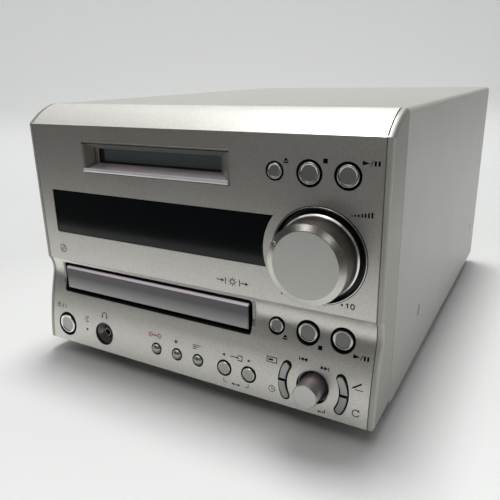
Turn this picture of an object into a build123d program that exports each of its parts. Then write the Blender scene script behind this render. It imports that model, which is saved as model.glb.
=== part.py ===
from build123d import *
import math
import os

# A compact desktop receiver with a slot for small cartridge discs and a tray for compact discs.
# All pieces are drawn with y = 0 on the flat upper face of the front, y growing to the rear, and z = 0 on
# the table. They are moved at the very end so that the origin is under the middle of the whole object.

# Case
body_width = 205.0
top_height = 147.0
foot_height = 8.0
cover_depth = 279.0
cover_sheet = 0.8
cover_corner_r = 2.5
chassis_sheet = 1.0
chassis_front = 3.0
chassis_wall_front = 22.0
chassis_wall_top = 46.0
chassis_flange_top = 22.0
seam_gap = 0.3
rear_recess = 2.0
terminal_reach = 9.0
step_z = 59.2

# What stands side by side keeps its share of the width, and what stands above the step keeps its share
# of the upper face.
width_share = body_width / 205.0
upper_share = (top_height - step_z) / 87.8

# Side outline of the front, as (y, z) points
lip_y = -5.6
belly_y, belly_z = -2.9, 30.0
dip_y, dip_z = 1.6, 47.5
cove_y, cove_z = 2.25, 51.5
step_back = 0.4
crease_z = top_height - 9.7
cap_mid_y, cap_mid_z = 8.0, top_height - 3.6
cap_depth = 17.0
trim_depth = 19.6
trim_width = 3.0
trim_edge_r = 1.6
panel_wall = 2.0

# Slot for cartridge discs and its funnel
cartridge_wide, cartridge_high, cartridge_deep = 72.8, 5.8, 73.0
slot_x, slot_z = -17.6 * width_share, step_z + 62.2 * upper_share
slot_wide, slot_high = cartridge_wide + 3.9, cartridge_high + 1.6
bezel_wide, bezel_high = slot_wide + 14.8, slot_high + 8.6
bezel_rim = 0.7
bezel_proud = 0.4
funnel_depth = 5.0
bezel_flange = 1.2
bezel_flange_thick = 1.5
tunnel_wall = 1.5
tunnel_rear = 22.0
tunnel_headroom = 2.5
flap_thick = 1.0
flap_gap = 0.25
flap_setback = 0.5
flap_pin_r = 0.8
flap_knuckle_r = 0.9

# Display
window_left = -90.2 * width_share
window_low, window_high = step_z + 17.1 * upper_share, step_z + 42.1 * upper_share
window_arc_r = 27.0
window_corner_r = 1.5
window_recess = 0.4
window_flange = 1.2
window_flange_thick = 1.0
tube_front, tube_rear = 5.0, 11.5
tube_margin = 2.5
tube_frame = 2.0

# Volume control
volume_x, volume_z = 72.0 * width_share, step_z + 25.95 * upper_share
volume_hole_r = 22.1
ring_lip_r = 22.6
ring_lip_proud = 0.5
ring_inner_r = 21.4
ring_floor, ring_floor_thick = 3.5, 1.5
knob_reach = 14.2
knob_face_r = 15.0
knob_bevel_r = 17.9
knob_bevel_depth = 1.1
knob_skirt_r = 18.6
knob_flange_r = 19.3
knob_flange_front = 1.2
knob_rear = 2.2
knob_wall = 2.0
knob_roof = 3.7
knob_boss_r = 5.5
knob_pointer_deg = 151.4
knob_pointer_r = 0.9
volume_shaft_r = 3.0
shaft_fit = 0.05
press_fit = 0.02
pot_side = 17.0
pot_deep = 7.0
pot_bush_r = 4.5
pot_nut_r = 6.5
pot_shoulder_r = 7.5

# Bottom row
bottom_row_z = 19.6
standby_x, standby_hole_r = -87.3 * width_share, 7.2
led_x, led_r = -71.1 * width_share, 0.7
led_side, led_high = 3.0, 3.0
phones_x, phones_hole_r = -57.7 * width_share, 6.7
phones_bore_r, phones_bore_deep = 1.8, 15.0
phones_body_r = 6.0
dubbing_x, record_x, record_mode_x = -19.3 * width_share, -5.6 * width_share, 8.0 * width_share
dome_hole_r = 3.45
input_left_x, input_right_x = 24.2 * width_share, 38.4 * width_share
input_hole_r = 4.35

# Jog control with its four curved keys
jog_x, jog_z = 72.3 * width_share, 22.2
jog_hole_r = 8.2
jog_knob_r = 5.9
jog_reach = 13.3
jog_rear = 3.0
jog_shaft_r = 2.5
jog_travel = 0.6
jog_spindle_r = 1.5
encoder_side = 12.0
encoder_deep = 6.0
arc_key_r = 15.4
arc_slot_width = 4.8
arc_key_half_deg = 29.0
arc_key_split = 0.7

# Disc tray, its opening and the loader that carries it
tray_mid_x = -26.0 * width_share
opening_wide = 128.0
opening_low, opening_high = 39.3, 57.1
opening_corner_r = 1.8
opening_wall = 1.5
opening_wall_rear = 20.0
door_side_gap = 2.0
door_wide = opening_wide - 2 * door_side_gap
door_low, door_high = 41.4, 55.0
door_front, door_thick = 0.3, 4.0
door_bevel, door_edge = 1.4, 0.5
tray_inset = 1.0
tray_wide = door_wide - 2 * tray_inset
tray_low, tray_high = 43.0, 51.5
disc_y = 76.0
disc_recess_rim = 0.5
disc_recess_r = tray_wide / 2 - disc_recess_rim
disc_recess_floor = 48.0
small_disc_r = 40.5
small_disc_floor = 47.2
tray_slot_wide = 50.0
tray_slot_front, tray_slot_rear = 54.0, 160.0
tray_travel = 132.0
rack_inset, rack_wide = 3.0, 4.0
rack_low = 40.0
rack_front = 28.0
gear_module = 1.0
gear_teeth = 16
gear_y = 38.0
rack_past_gear = 6.0
gear_high = 2.4
gear_backlash = 0.2
drive_pulley_r = 12.0
motor_pulley_r = 3.0
pulley_low, pulley_high = 24.0, 28.0
motor_offset, motor_r = 32.0, 10.0
belt_thick, belt_gap = 1.0, 0.3
loader_front, loader_rear = 24.0, 190.0
deck_low, deck_high = 30.0, 33.0
loader_wall = 3.0
loader_side_gap = 1.0
loader_half_wide = tray_wide / 2 + loader_side_gap + loader_wall
loader_wall_top = 56.0
rail_wide = 3.0
rail_lip_long = 30.0
slide_gap = 0.2
loader_post_r = 4.0
clamp_strip_deep = 24.0
clamp_strip_thick = 1.2
clamp_hole_r = 9.0
clamp_r = 14.0
clamp_low = 52.0
clamp_recess = 2.4

# Transport keys, each row with the same three columns, spread between the tray and the right end
right_zone = body_width / 2 - trim_width - (tray_mid_x + opening_wide / 2)
eject_x = tray_mid_x + opening_wide / 2 + 13.2 / 61.5 * right_zone
stop_x = tray_mid_x + opening_wide / 2 + 29.4 / 61.5 * right_zone
play_x = tray_mid_x + opening_wide / 2 + 46.4 / 61.5 * right_zone
upper_row_z, lower_row_z = slot_z - 0.2, 46.8
eject_hole_r, play_hole_r = 4.4, 6.0

# Key caps and what guides them
key_gap = 0.7
key_travel = 0.8
key_proud = 0.9
key_collar = 0.6
key_collar_thick = 1.2
key_stem_r = 2.0
guide_wall = 1.4
guide_end_upper, guide_end_lower = 5.0, 6.5
rest_gap = 0.1
board_front = 20.0
board_thick = 1.6
board_margin = 1.5
switch_side = 6.0
switch_high = 3.5
switch_nub_r = 1.75
switch_nub_high = 0.9
board_post_r = 2.5

# Lifting traverse with turntable and pickup
traverse_wide = 46.0
traverse_front, traverse_rear = 62.0, 158.0
traverse_low, traverse_high = 31.0, 33.0
traverse_wall_front = 96.0
traverse_wall_top = 38.8
traverse_wall = 1.5
traverse_gap = 2.5
arm_y = (71.0, 148.0)
arm_deep, arm_low = 6.0, 14.0
arm_pin_r, arm_pin_z = 1.5, 17.0
ear_thick = 2.5
lift_height = 9.6
turntable_r = 14.0
turntable_low, turntable_high = 38.5, 41.0
hub_r = 7.2
hub_top = 42.7
spindle_r = 1.1
spindle_motor_r, spindle_motor_low = 12.0, 24.0
rod_offset, rod_r, rod_z = 15.0, 1.5, 36.2
rod_front = 96.0
sled_front, sled_deep, sled_wide = 100.0, 18.0, 36.0
sled_low, sled_high = 34.0, 39.2
sled_travel = 34.0
lens_r, lens_high = 3.5, 0.6

# Cartridge disc drive and the sheet bridge that it stands on
bridge_front, bridge_rear = 30.0, 150.0
bridge_top = slot_z - 15.4
bridge_sheet = 1.2
bridge_leg_deep = 20.0
bridge_foot = 9.0
bridge_window_margin = 20.0
drive_front, drive_rear = 24.0, 128.0
drive_wide = cartridge_wide + 8.2
drive_wall_top = slot_z + 6.6
drive_sheet = 1.2
holder_front = 26.0
holder_sheet = 0.9
holder_pin_r = 1.5
holder_drop = 3.0
holder_window_wide = 30.0
cartridge_hub_y = 61.0
cartridge_platter_r = 8.0
cartridge_motor_r, cartridge_motor_high = 10.0, 6.0

# Power supply, boards and cooling
transformer_y = 208.0
core_wide, core_deep, core_high = 44.0, 56.0, 50.0
strap_thick, strap_reach = 2.0, 8.0
winding_over = 4.0
winding_inset_y, winding_inset_z = 10.0, 9.0
winding_corner_r = 3.0
main_board_left, main_board_right = -92.0 * width_share, 44.0 * width_share
main_board_front, main_board_rear = 196.0, 270.0
main_board_z = 15.0
standoff_r, standoff_inset = 3.0, 6.0
capacitor_r, capacitor_high = 12.5, 40.0
capacitor_inset_x, capacitor_inset_y, capacitor_pitch = 16.0, 18.0, 30.0
tuner_wide, tuner_deep, tuner_high = 40.0, 30.0, 16.0
tuner_inset_x, tuner_inset_y = 6.0, 4.0
chip_side, chip_high = 22.0, 2.4
chip_x = -18.0 * width_share
chip_inset_front, chip_inset_rear = 24.0, 18.0
sink_gap = 6.0
sink_front, sink_rear = 60.0, 150.0
sink_top = 85.0
sink_base, sink_fin, sink_fins = 4.0, 2.0, 10
floor_slots, floor_slot_wide, floor_slot_long, floor_slot_pitch = 8, 2.0, 14.0, 4.5

# Sockets on the rear panel
socket_depth = 12.0
phono_r, phono_bore_r, phono_bore_deep = 4.15, 1.6, 8.0
phono_body = 12.0
phono_columns = [x * width_share for x in (-84.0, -70.0, -56.0, -42.0)]
phono_rows = [step_z + z * upper_share for z in (28.8, 44.8)]
post_r, post_bore_r, post_bore_deep = 5.5, 2.05, 12.0
post_neck = 1.4
post_body_deep = 8.0
post_columns = [x * width_share for x in (-12.0, 6.0, 24.0, 42.0)]
post_z = 62.0
aerial_x, aerial_z = -70.0 * width_share, 60.0
aerial_wide, aerial_high, aerial_pitch = 34.0, 14.0, 11.0
aerial_flange, aerial_proud = 2.0, 3.0
aerial_hole_wide, aerial_hole_high, aerial_hole_deep = 4.0, 5.0, 5.0
optical_columns = [x * width_share for x in (-18.0, 0.0)]
optical_z = step_z + 40.8 * upper_share
optical_side, optical_body, optical_proud = 9.2, 13.0, 1.0
optical_hole, optical_hole_deep = 6.0, 7.0
inlet_x, inlet_z = 78.0 * width_share, 32.0
inlet_wide, inlet_high = 22.0, 14.0
inlet_deep, inlet_proud = 18.0, 2.0
inlet_flange, inlet_flange_thick = 2.0, 1.5
inlet_cavity_wide, inlet_cavity_high, inlet_cavity_deep = 15.5, 8.4, 14.0
inlet_pin_r, inlet_pin_gap, inlet_pin_back = 1.2, 8.6, 3.0
vent_rows, vent_columns = 3, 9
vent_wide, vent_high = 2.2, 11.0
vent_pitch_x, vent_pitch_z = 4.8, 15.0 * upper_share
vent_left, vent_low = 52.0 * width_share, step_z + 28.8 * upper_share

# Screws, all the same size, and feet
screw_r = 1.5
screw_head_r = 3.0
screw_head_deep = 1.5
screw_long = 6.0
screw_fit = 0.06
screw_boss_wall = 1.5
side_screw_y = (70.0, 251.0)
side_screw_z = 37.5
foot_r = 9.0
foot_x, foot_front_y, foot_rear_y = 82.0 * width_share, 26.0, 250.0
foot_seat = 4.0
foot_boss_high = 3.0
panel_screw_x = [x * width_share for x in (-74.0, -38.0, 95.0)]
panel_screw_y = 12.0
rear_screw_x = [x * width_share for x in (-90.0, -30.0, 30.0, 94.0)]
rear_screw_z = 14.0
lip_screw_x = [x * width_share for x in (-70.0, 70.0)]
lip_screw_z = top_height - 6.0
cover_lip_low = top_height - 10.0
cover_lip_half = 95.0 * width_share

# Places that follow from the sizes above
panel_bottom = foot_height + chassis_sheet
half_width = body_width / 2
half_panel = half_width - trim_width
cover_inside = half_width - cover_sheet
chassis_inside = cover_inside - chassis_sheet
rear_face = cover_depth - rear_recess
rear_inside = rear_face - chassis_sheet
flange_rear = rear_inside
mid_depth = (rear_face + terminal_reach - knob_reach) / 2
switch_nub_front = board_front - switch_high - switch_nub_high
stem_end = switch_nub_front - key_travel - rest_gap
gear_r = gear_module * gear_teeth / 2
tray_rear = gear_y + tray_travel + rack_past_gear
rod_rear = sled_front + sled_deep + sled_travel + 3.0
rack_left = tray_mid_x - tray_wide / 2 + rack_inset
rack_right = rack_left + rack_wide
gear_x = rack_right + gear_r
motor_x = gear_x + motor_offset
loader_left, loader_right = tray_mid_x - loader_half_wide, tray_mid_x + loader_half_wide
loader_posts = [
    (loader_left + 5.0, 62.0),
    (loader_left + 5.0, 182.0),
    (loader_right - 13.0, 30.0),
    (loader_right - 5.0, 182.0),
]
bridge_left = (loader_left - chassis_inside - bridge_sheet) / 2
bridge_right = loader_right + 7.0
sink_left, sink_right = bridge_right + sink_gap, half_width - 10.5
transformer_x = chassis_inside - core_wide / 2 - winding_over - 0.7
encoder_bush_r = jog_shaft_r + 1.0
flap_front = funnel_depth + flap_setback
flap_pin_y = flap_front + 0.7
flap_pin_z = slot_z + slot_high / 2 + 1.1
holder_low = slot_z - cartridge_high / 2 - holder_sheet
holder_high = slot_z + cartridge_high / 2 + holder_sheet
holder_half = cartridge_wide / 2 + holder_sheet
holder_rear = holder_front + cartridge_deep + holder_sheet
holder_pin_y = (holder_front + 14.0, holder_rear - 10.0)
tunnel_low, tunnel_high = slot_z - slot_high / 2, slot_z + slot_high / 2 + tunnel_headroom
board_right_left = eject_x - 7.5
upper_board_low, upper_board_top = step_z + 4.8, crease_z - 5.3
upper_board_mid = tunnel_low - tunnel_wall - 7.2
lower_board_low, lower_board_mid, lower_board_top = panel_bottom + panel_wall + 0.5, 36.0, step_z + 3.8
upper_board_posts = [
    (-94.0 * width_share, upper_board_low + 3.5),
    (-94.0 * width_share, upper_board_mid - 3.0),
    (95.0 * width_share, upper_board_low + 2.5),
    (95.0 * width_share, upper_board_top - 4.0),
]
lower_board_posts = [
    (-96.0 * width_share, lower_board_mid - 3.0),
    (-38.0 * width_share, lower_board_mid - 3.0),
    (46.0 * width_share, lower_board_mid - 3.0),
    (96.0 * width_share, lower_board_top - 3.0),
]


def block(x, y, z):
    """Box between the low and high value given for each axis."""
    size = Box(x[1] - x[0], y[1] - y[0], z[1] - z[0])
    return Pos((x[0] + x[1]) / 2, (y[0] + y[1]) / 2, (z[0] + z[1]) / 2) * size


def rod_x(y, z, x, radius):
    """Round bar along X."""
    return Pos((x[0] + x[1]) / 2, y, z) * Rot(0, 90, 0) * Cylinder(radius, x[1] - x[0])


def rod_y(x, z, y, radius):
    """Round bar along Y."""
    return Pos(x, (y[0] + y[1]) / 2, z) * Rot(90, 0, 0) * Cylinder(radius, y[1] - y[0])


def rod_up(x, y, z, radius):
    """Round bar along Z."""
    return Pos(x, y, (z[0] + z[1]) / 2) * Cylinder(radius, z[1] - z[0])


def prism_y(sketch, y_front, y_rear):
    """Stand a flat sketch up as (x, z) and run it from y_front to y_rear."""
    return extrude(Pos(0, y_rear, 0) * (Plane.XZ * sketch), amount=y_rear - y_front)


def turned(outline, x, z):
    """Turn (radius, y) points about the line along Y through x and z."""
    return Pos(x, 0, z) * revolve(make_face(Polyline(*outline, close=True)), Axis.Y)


def turned_up(outline, x, y):
    """Turn (radius, z) points about the upright line through x and y."""
    upright = revolve(Plane.XZ * make_face(Polyline(*outline, close=True)), Axis.Z)
    return Pos(x, y, 0) * upright


def circle_through(a, b, c):
    """Centre and radius of the circle through three (y, z) points."""
    d = 2 * (a[0] * (b[1] - c[1]) + b[0] * (c[1] - a[1]) + c[0] * (a[1] - b[1]))
    squares = [p[0] ** 2 + p[1] ** 2 for p in (a, b, c)]
    y = (squares[0] * (b[1] - c[1]) + squares[1] * (c[1] - a[1]) + squares[2] * (a[1] - b[1])) / d
    z = (squares[0] * (c[0] - b[0]) + squares[1] * (a[0] - c[0]) + squares[2] * (b[0] - a[0])) / d
    return y, z, math.dist((y, z), a)


def face_y(z):
    """How far back the outer front surface lies at height z."""
    if z >= step_z:
        return 0.0
    if z >= dip_z:
        y, mid, r = circle_through((dip_y, dip_z), (cove_y, cove_z), (step_back, step_z))
        return y + math.sqrt(r**2 - (z - mid) ** 2)
    y, mid, r = circle_through((lip_y, panel_bottom), (belly_y, belly_z), (dip_y, dip_z))
    return y - math.sqrt(r**2 - (z - mid) ** 2)


def front_outline(inset, rear, back=step_back):
    """Closed side outline of the front, drawn in by inset, set back at the step, ending at y = rear."""
    low_rear = (rear, panel_bottom + inset)
    lip = (lip_y + inset, panel_bottom + inset)
    dip = (dip_y + inset, dip_z)
    ledge = (back + inset, step_z)
    step = (inset, step_z)
    crease = (inset, crease_z - 0.4 * inset)
    cap_mid = (cap_mid_y + 0.5 * inset, cap_mid_z - 0.85 * inset)
    cap_rear = (cap_depth, top_height - inset)
    top_rear = (rear, top_height - inset)
    edges = [
        Line(low_rear, lip),
        ThreePointArc(lip, (belly_y + inset, belly_z), dip),
        ThreePointArc(dip, (cove_y + inset, cove_z), ledge),
        Line(step, crease),
        ThreePointArc(crease, cap_mid, cap_rear),
        Line(cap_rear, top_rear),
        Line(top_rear, low_rear),
    ]
    if back > 0:
        edges.append(Line(ledge, step))
    return Plane.YZ * make_face(Wire(edges))


def slab(face, x_low, x_high):
    """Run a side outline from x_low to x_high."""
    return extrude(Pos(x_low, 0, 0) * face, amount=x_high - x_low, dir=(1, 0, 0))


def window_shape(grow):
    """Display window outline: a long rectangle with a bay cut round the volume control."""
    low, high = window_low - grow, window_high + grow
    left = window_left - grow
    sketch = Pos((left + volume_x) / 2, (low + high) / 2) * Rectangle(volume_x - left, high - low)
    sketch = sketch - Pos(volume_x, volume_z) * Circle(window_arc_r - grow)
    low_left = sketch.vertices().sort_by(lambda v: v.X + v.Y)[0]
    return fillet(low_left, window_corner_r)


def tray_opening(grow):
    """Opening for the disc tray, a long rectangle with rounded corners."""
    shape = RectangleRounded(
        opening_wide + 2 * grow,
        opening_high - opening_low + 2 * grow,
        opening_corner_r + grow,
    )
    return Pos(tray_mid_x, (opening_low + opening_high) / 2) * shape


def arc_slot(side, width):
    """Curved slot beside the jog control. side is 1 on the right and -1 on the left."""
    start = -arc_key_half_deg if side > 0 else 180 - arc_key_half_deg
    line = CenterArc((jog_x, jog_z), arc_key_r, start, 2 * arc_key_half_deg)
    return SlotArc(arc=line, height=width)


def arc_key_shape(side, upper, width):
    """One half of a curved slot, with the dividing gap taken off."""
    split = arc_key_split / 2
    span = arc_key_r + arc_slot_width
    height = (split, span) if upper else (-span, -split)
    middle = (height[0] + height[1]) / 2
    half = Rectangle(2 * arc_slot_width, height[1] - height[0])
    return arc_slot(side, width) & (Pos(jog_x + side * arc_key_r, jog_z + middle) * half)


round_keys = {
    "md_eject_key": (eject_x, upper_row_z, eject_hole_r),
    "md_stop_key": (stop_x, upper_row_z, play_hole_r),
    "md_play_key": (play_x, upper_row_z, play_hole_r),
    "cd_eject_key": (eject_x, lower_row_z, eject_hole_r),
    "cd_stop_key": (stop_x, lower_row_z, play_hole_r),
    "cd_play_key": (play_x, lower_row_z, play_hole_r),
    "standby_key": (standby_x, bottom_row_z, standby_hole_r),
    "input_left_key": (input_left_x, bottom_row_z, input_hole_r),
    "input_right_key": (input_right_x, bottom_row_z, input_hole_r),
}
dome_keys = {
    "dubbing_key": (dubbing_x, bottom_row_z, dome_hole_r),
    "record_key": (record_x, bottom_row_z, dome_hole_r),
    "record_mode_key": (record_mode_x, bottom_row_z, dome_hole_r),
}
arc_keys = {
    "display_key": (-1, True),
    "timer_key": (-1, False),
    "edit_key": (1, True),
    "repeat_key": (1, False),
}


def guide_end(z):
    """Rear end of the guide tubes behind the front, which is flat for each half of the front."""
    return guide_end_upper if z > step_z else guide_end_lower


def arc_key_middle(side, upper):
    """Place of a curved key's stem."""
    angle = math.radians(arc_key_half_deg / 2)
    rise = arc_key_r * math.sin(angle)
    return jog_x + side * arc_key_r * math.cos(angle), jog_z + (rise if upper else -rise)


def panel_guides():
    """Guide tubes behind the key holes, as (tube, hole) solids."""
    tubes, holes = [], []
    rounds = list(round_keys.values()) + list(dome_keys.values())
    rounds.append((jog_x, jog_z, jog_hole_r))
    rounds.append((phones_x, bottom_row_z, phones_hole_r))
    for x, z, r in rounds:
        start = max(face_y(z - r - guide_wall), face_y(z + r + guide_wall)) + 0.2
        tubes.append(rod_y(x, z, (start, guide_end(z)), r + guide_wall))
        holes.append(rod_y(x, z, (lip_y - 5, guide_end(z) + 1), r))
    for side in (-1, 1):
        start = face_y(jog_z + arc_key_r) + 0.2
        tubes.append(prism_y(arc_slot(side, arc_slot_width + 2 * guide_wall), start, guide_end_lower))
        holes.append(prism_y(arc_slot(side, arc_slot_width), lip_y - 5, guide_end_lower + 1))
    return tubes, holes


def front_panel():
    """Moulded front with its cap, holes, guide tubes and board posts."""
    shell = slab(front_outline(0, trim_depth), -half_panel, half_panel)
    shell -= slab(front_outline(panel_wall, trim_depth + 1), -half_panel - 1, half_panel + 1)
    tubes, holes = panel_guides()
    posts = []
    for x, z in upper_board_posts + lower_board_posts:
        posts.append(rod_y(x, z, (face_y(z) + panel_wall / 2, board_front), board_post_r))
    bosses = []
    for x in panel_screw_x:
        boss_top = foot_height + screw_long + 0.5
        bosses.append(rod_up(x, panel_screw_y, (panel_bottom, boss_top), screw_r + 2.0))
    holes += screw_cuts("panel")
    tubes.append(prism_y(tray_opening(opening_wall), face_y(opening_high) + 0.2, opening_wall_rear))
    holes.append(prism_y(tray_opening(0), lip_y - 5, opening_wall_rear + 1))
    holes.append(prism_y(window_shape(0), -1, panel_wall + 1))
    holes.append(rod_y(volume_x, volume_z, (-1, panel_wall + 1), volume_hole_r))
    bezel_x = (slot_x - bezel_wide / 2, slot_x + bezel_wide / 2)
    bezel_z = (slot_z - bezel_high / 2, slot_z + bezel_high / 2)
    holes.append(block(bezel_x, (-1, panel_wall + 1), bezel_z))
    holes.append(rod_y(led_x, bottom_row_z, (lip_y - 5, 5), led_r + rest_gap))
    return shell + tubes + posts + bosses - holes


def end_trims():
    """Plates that close the ends of the front and turn its corners."""
    plate = slab(front_outline(0, trim_depth, back=0), half_panel, half_width)
    outer_face = plate.faces().sort_by(Axis.X)[-1]
    round_edges = [e for e in outer_face.edges() if e.center().Y < trim_depth - 1]
    plate = fillet(round_edges, trim_edge_r)
    return Compound([mirror(plate, Plane.YZ), plate])


def md_bezel():
    """Funnel round the cartridge slot with a flange behind the front and a tunnel to the drive."""
    fit = rest_gap
    half_w, half_h = bezel_wide / 2 - fit, bezel_high / 2 - fit
    nose_x, nose_z = (slot_x - half_w, slot_x + half_w), (slot_z - half_h, slot_z + half_h)
    nose = block(nose_x, (-bezel_proud, panel_wall), nose_z)
    nose = fillet(nose.edges().group_by(Axis.Y)[0], 0.3)
    flange_w, flange_h = half_w + bezel_flange, half_h + bezel_flange
    flange = block(
        (slot_x - flange_w, slot_x + flange_w),
        (panel_wall, panel_wall + bezel_flange_thick),
        (slot_z - flange_h, slot_z + flange_h),
    )
    slot_w = slot_wide / 2
    tunnel = block(
        (slot_x - slot_w - tunnel_wall, slot_x + slot_w + tunnel_wall),
        (panel_wall, tunnel_rear),
        (tunnel_low - tunnel_wall, tunnel_high + tunnel_wall),
    )
    mouth = Pos(slot_x, slot_z) * Rectangle(2 * (half_w - bezel_rim), 2 * (half_h - bezel_rim))
    throat = Pos(slot_x, slot_z) * Rectangle(slot_wide, slot_high)
    mouth = Pos(0, -bezel_proud, 0) * (Plane.XZ * mouth)
    throat = Pos(0, funnel_depth, 0) * (Plane.XZ * throat)
    funnel = loft([mouth, throat], ruled=True)
    cavity_x = (slot_x - slot_w, slot_x + slot_w)
    cavity = block(cavity_x, (funnel_depth, tunnel_rear + 1), (tunnel_low, tunnel_high))
    pin_x = slot_w + tunnel_wall + 1
    pin_hole = rod_x(flap_pin_y, flap_pin_z, (slot_x - pin_x, slot_x + pin_x), flap_pin_r + shaft_fit)
    return nose + flange + tunnel - funnel - cavity - pin_hole


def md_flap():
    """Dust flap behind the slot, hung on its own pins."""
    half = slot_wide / 2 - flap_gap
    low = slot_z - slot_high / 2 + flap_gap
    plate = block((slot_x - half, slot_x + half), (flap_front, flap_front + flap_thick), (low, flap_pin_z))
    knuckle = rod_x(flap_pin_y, flap_pin_z, (slot_x - half, slot_x + half), flap_knuckle_r)
    pin_half = slot_wide / 2 + tunnel_wall - 0.3
    pin = rod_x(flap_pin_y, flap_pin_z, (slot_x - pin_half, slot_x + pin_half), flap_pin_r)
    return plate + knuckle + pin


def display_window():
    """Dark window, set in its hole, with a flange behind the front."""
    pane = prism_y(window_shape(-rest_gap), window_recess, panel_wall)
    flange = prism_y(window_shape(window_flange), panel_wall, panel_wall + window_flange_thick)
    return pane + flange


def display_tube():
    """Glass display tube, and the holder between it and its board."""
    left, right = window_left + tube_margin, volume_x - window_arc_r - 2 * tube_margin
    low, high = window_low + rest_gap, window_high - rest_gap
    glass = block((left, right), (tube_front, tube_rear), (low, high))
    inset = 2 * tube_frame
    holder = block((left + inset, right - inset), (tube_rear, board_front), (low + inset, high - inset))
    inset += tube_frame
    hollow_y = (tube_rear - 1, board_front + 1)
    holder -= block((left + inset, right - inset), hollow_y, (low + inset, high - inset))
    return Compound([glass, holder])


def volume_ring():
    """Dark dish that the volume knob stands in, with a thin bright lip."""
    rear = ring_floor + ring_floor_thick
    neck = pot_bush_r + rest_gap
    outline = [
        (ring_inner_r, -ring_lip_proud),
        (ring_lip_r, -ring_lip_proud),
        (ring_lip_r, 0),
        (volume_hole_r - rest_gap, 0),
        (volume_hole_r - rest_gap, rear),
        (neck, rear),
        (neck, ring_floor),
        (ring_inner_r, ring_floor),
    ]
    return turned(outline, volume_x, volume_z)


def volume_knob():
    """Hollow turned knob with a bevelled face, a base flange and a pointer dimple."""
    roof = -knob_reach + knob_roof
    bore = volume_shaft_r + press_fit
    bevel_y = -knob_reach + knob_bevel_depth
    outline = [
        (0, -knob_reach),
        (knob_face_r, -knob_reach),
        (knob_bevel_r, bevel_y),
        (knob_skirt_r, -knob_flange_front - 0.6),
        (knob_flange_r, -knob_flange_front),
        (knob_flange_r, knob_rear),
        (knob_flange_r - knob_wall, knob_rear),
        (knob_bevel_r - knob_wall, roof),
        (knob_boss_r, roof),
        (knob_boss_r, knob_rear - 1),
        (bore, knob_rear - 1),
        (bore, roof + 1),
        (0, roof + 1),
    ]
    knob = turned(outline, volume_x, volume_z)
    angle = math.radians(knob_pointer_deg)
    r = (knob_face_r + knob_bevel_r) / 2
    x, z = volume_x + r * math.cos(angle), volume_z + r * math.sin(angle)
    return knob - Pos(x, bevel_y - knob_bevel_depth / 2, z) * Sphere(knob_pointer_r)


def volume_shaft():
    """Shaft that the volume knob is pressed on."""
    front = -knob_reach + knob_roof + 1.1
    return rod_y(volume_x, volume_z, (front, board_front - pot_deep + 2.5), volume_shaft_r)


def volume_pot():
    """Rotary control with its threaded bush, and the nut that holds the dish."""
    front = board_front - pot_deep
    half = pot_side / 2
    case = block((volume_x - half, volume_x + half), (front, board_front), (volume_z - half, volume_z + half))
    bush = rod_y(volume_x, volume_z, (ring_floor - 1.4, front), pot_bush_r)
    bush += rod_y(volume_x, volume_z, (ring_floor + ring_floor_thick, front), pot_shoulder_r)
    bore = rod_y(volume_x, volume_z, (ring_floor - 3, front + 3), volume_shaft_r + shaft_fit)
    nut_face = Pos(volume_x, volume_z) * RegularPolygon(pot_nut_r, 6)
    nut = prism_y(nut_face, ring_floor - 1, ring_floor)
    nut -= rod_y(volume_x, volume_z, (0, ring_floor + 1), pot_bush_r + shaft_fit)
    return Compound([case + bush - bore, nut])


def jog_knob():
    """Slim hollow knob that turns on the jog spindle."""
    roof = -jog_reach + 1.5
    bore = jog_spindle_r + shaft_fit
    outline = [
        (0, -jog_reach),
        (jog_knob_r - 0.4, -jog_reach),
        (jog_knob_r, -jog_reach + 0.4),
        (jog_knob_r, jog_rear),
        (bore, jog_rear),
        (bore, roof),
        (0, roof),
    ]
    return turned(outline, jog_x, jog_z)


def jog_spindle():
    """Spindle that carries the jog knob and slides into the encoder when pressed."""
    outline = [
        (0, -jog_reach + 1.6),
        (jog_spindle_r, -jog_reach + 1.6),
        (jog_spindle_r, jog_rear + rest_gap),
        (jog_shaft_r, jog_rear + rest_gap),
        (jog_shaft_r, board_front - 3),
        (0, board_front - 3),
    ]
    return turned(outline, jog_x, jog_z)


def jog_well():
    """Dark tapered cup round the jog knob, seated on the guide tube's rear end."""
    front = face_y(jog_z + jog_hole_r) + 0.3
    rear = guide_end_lower + 1.0
    outline = [
        (jog_hole_r - 0.6, front),
        (jog_hole_r - rest_gap, front),
        (jog_hole_r - rest_gap, guide_end_lower),
        (jog_hole_r + guide_wall, guide_end_lower),
        (jog_hole_r + guide_wall, rear),
        (encoder_bush_r + rest_gap, rear),
        (encoder_bush_r + rest_gap, guide_end_lower - 0.5),
        (jog_knob_r + 0.7, guide_end_lower - 0.5),
    ]
    return turned(outline, jog_x, jog_z)


def jog_encoder():
    """Rotary encoder with a push switch, standing on the lower board."""
    half = encoder_side / 2
    front = board_front - encoder_deep
    case = block((jog_x - half, jog_x + half), (front, board_front), (jog_z - half, jog_z + half))
    bush = rod_y(jog_x, jog_z, (jog_rear + jog_travel + 1.5, front), encoder_bush_r)
    bore_end = board_front - 3 + jog_travel + 0.5
    return case + bush - rod_y(jog_x, jog_z, (0, bore_end), jog_shaft_r + shaft_fit)


def key_back(x, z, collar):
    """Collar and stem of a key, behind the front."""
    start = guide_end(z) + rest_gap
    collar_end = start + key_collar_thick
    return collar + rod_y(x, z, (collar_end, stem_end), key_stem_r)


def round_key(x, z, hole_r):
    """Round key with a raised rim round a shallow face."""
    r = hole_r - key_gap
    front = face_y(z) - key_proud
    start = guide_end(z) + rest_gap
    cap = rod_y(x, z, (front, start), r)
    cap = fillet(cap.edges().group_by(Axis.Y)[0], 0.6)
    cap -= rod_y(x, z, (front - 1, front + 0.35), r - 1.1)
    collar = rod_y(x, z, (start, start + key_collar_thick), hole_r + key_collar)
    return cap + key_back(x, z, collar)


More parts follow.
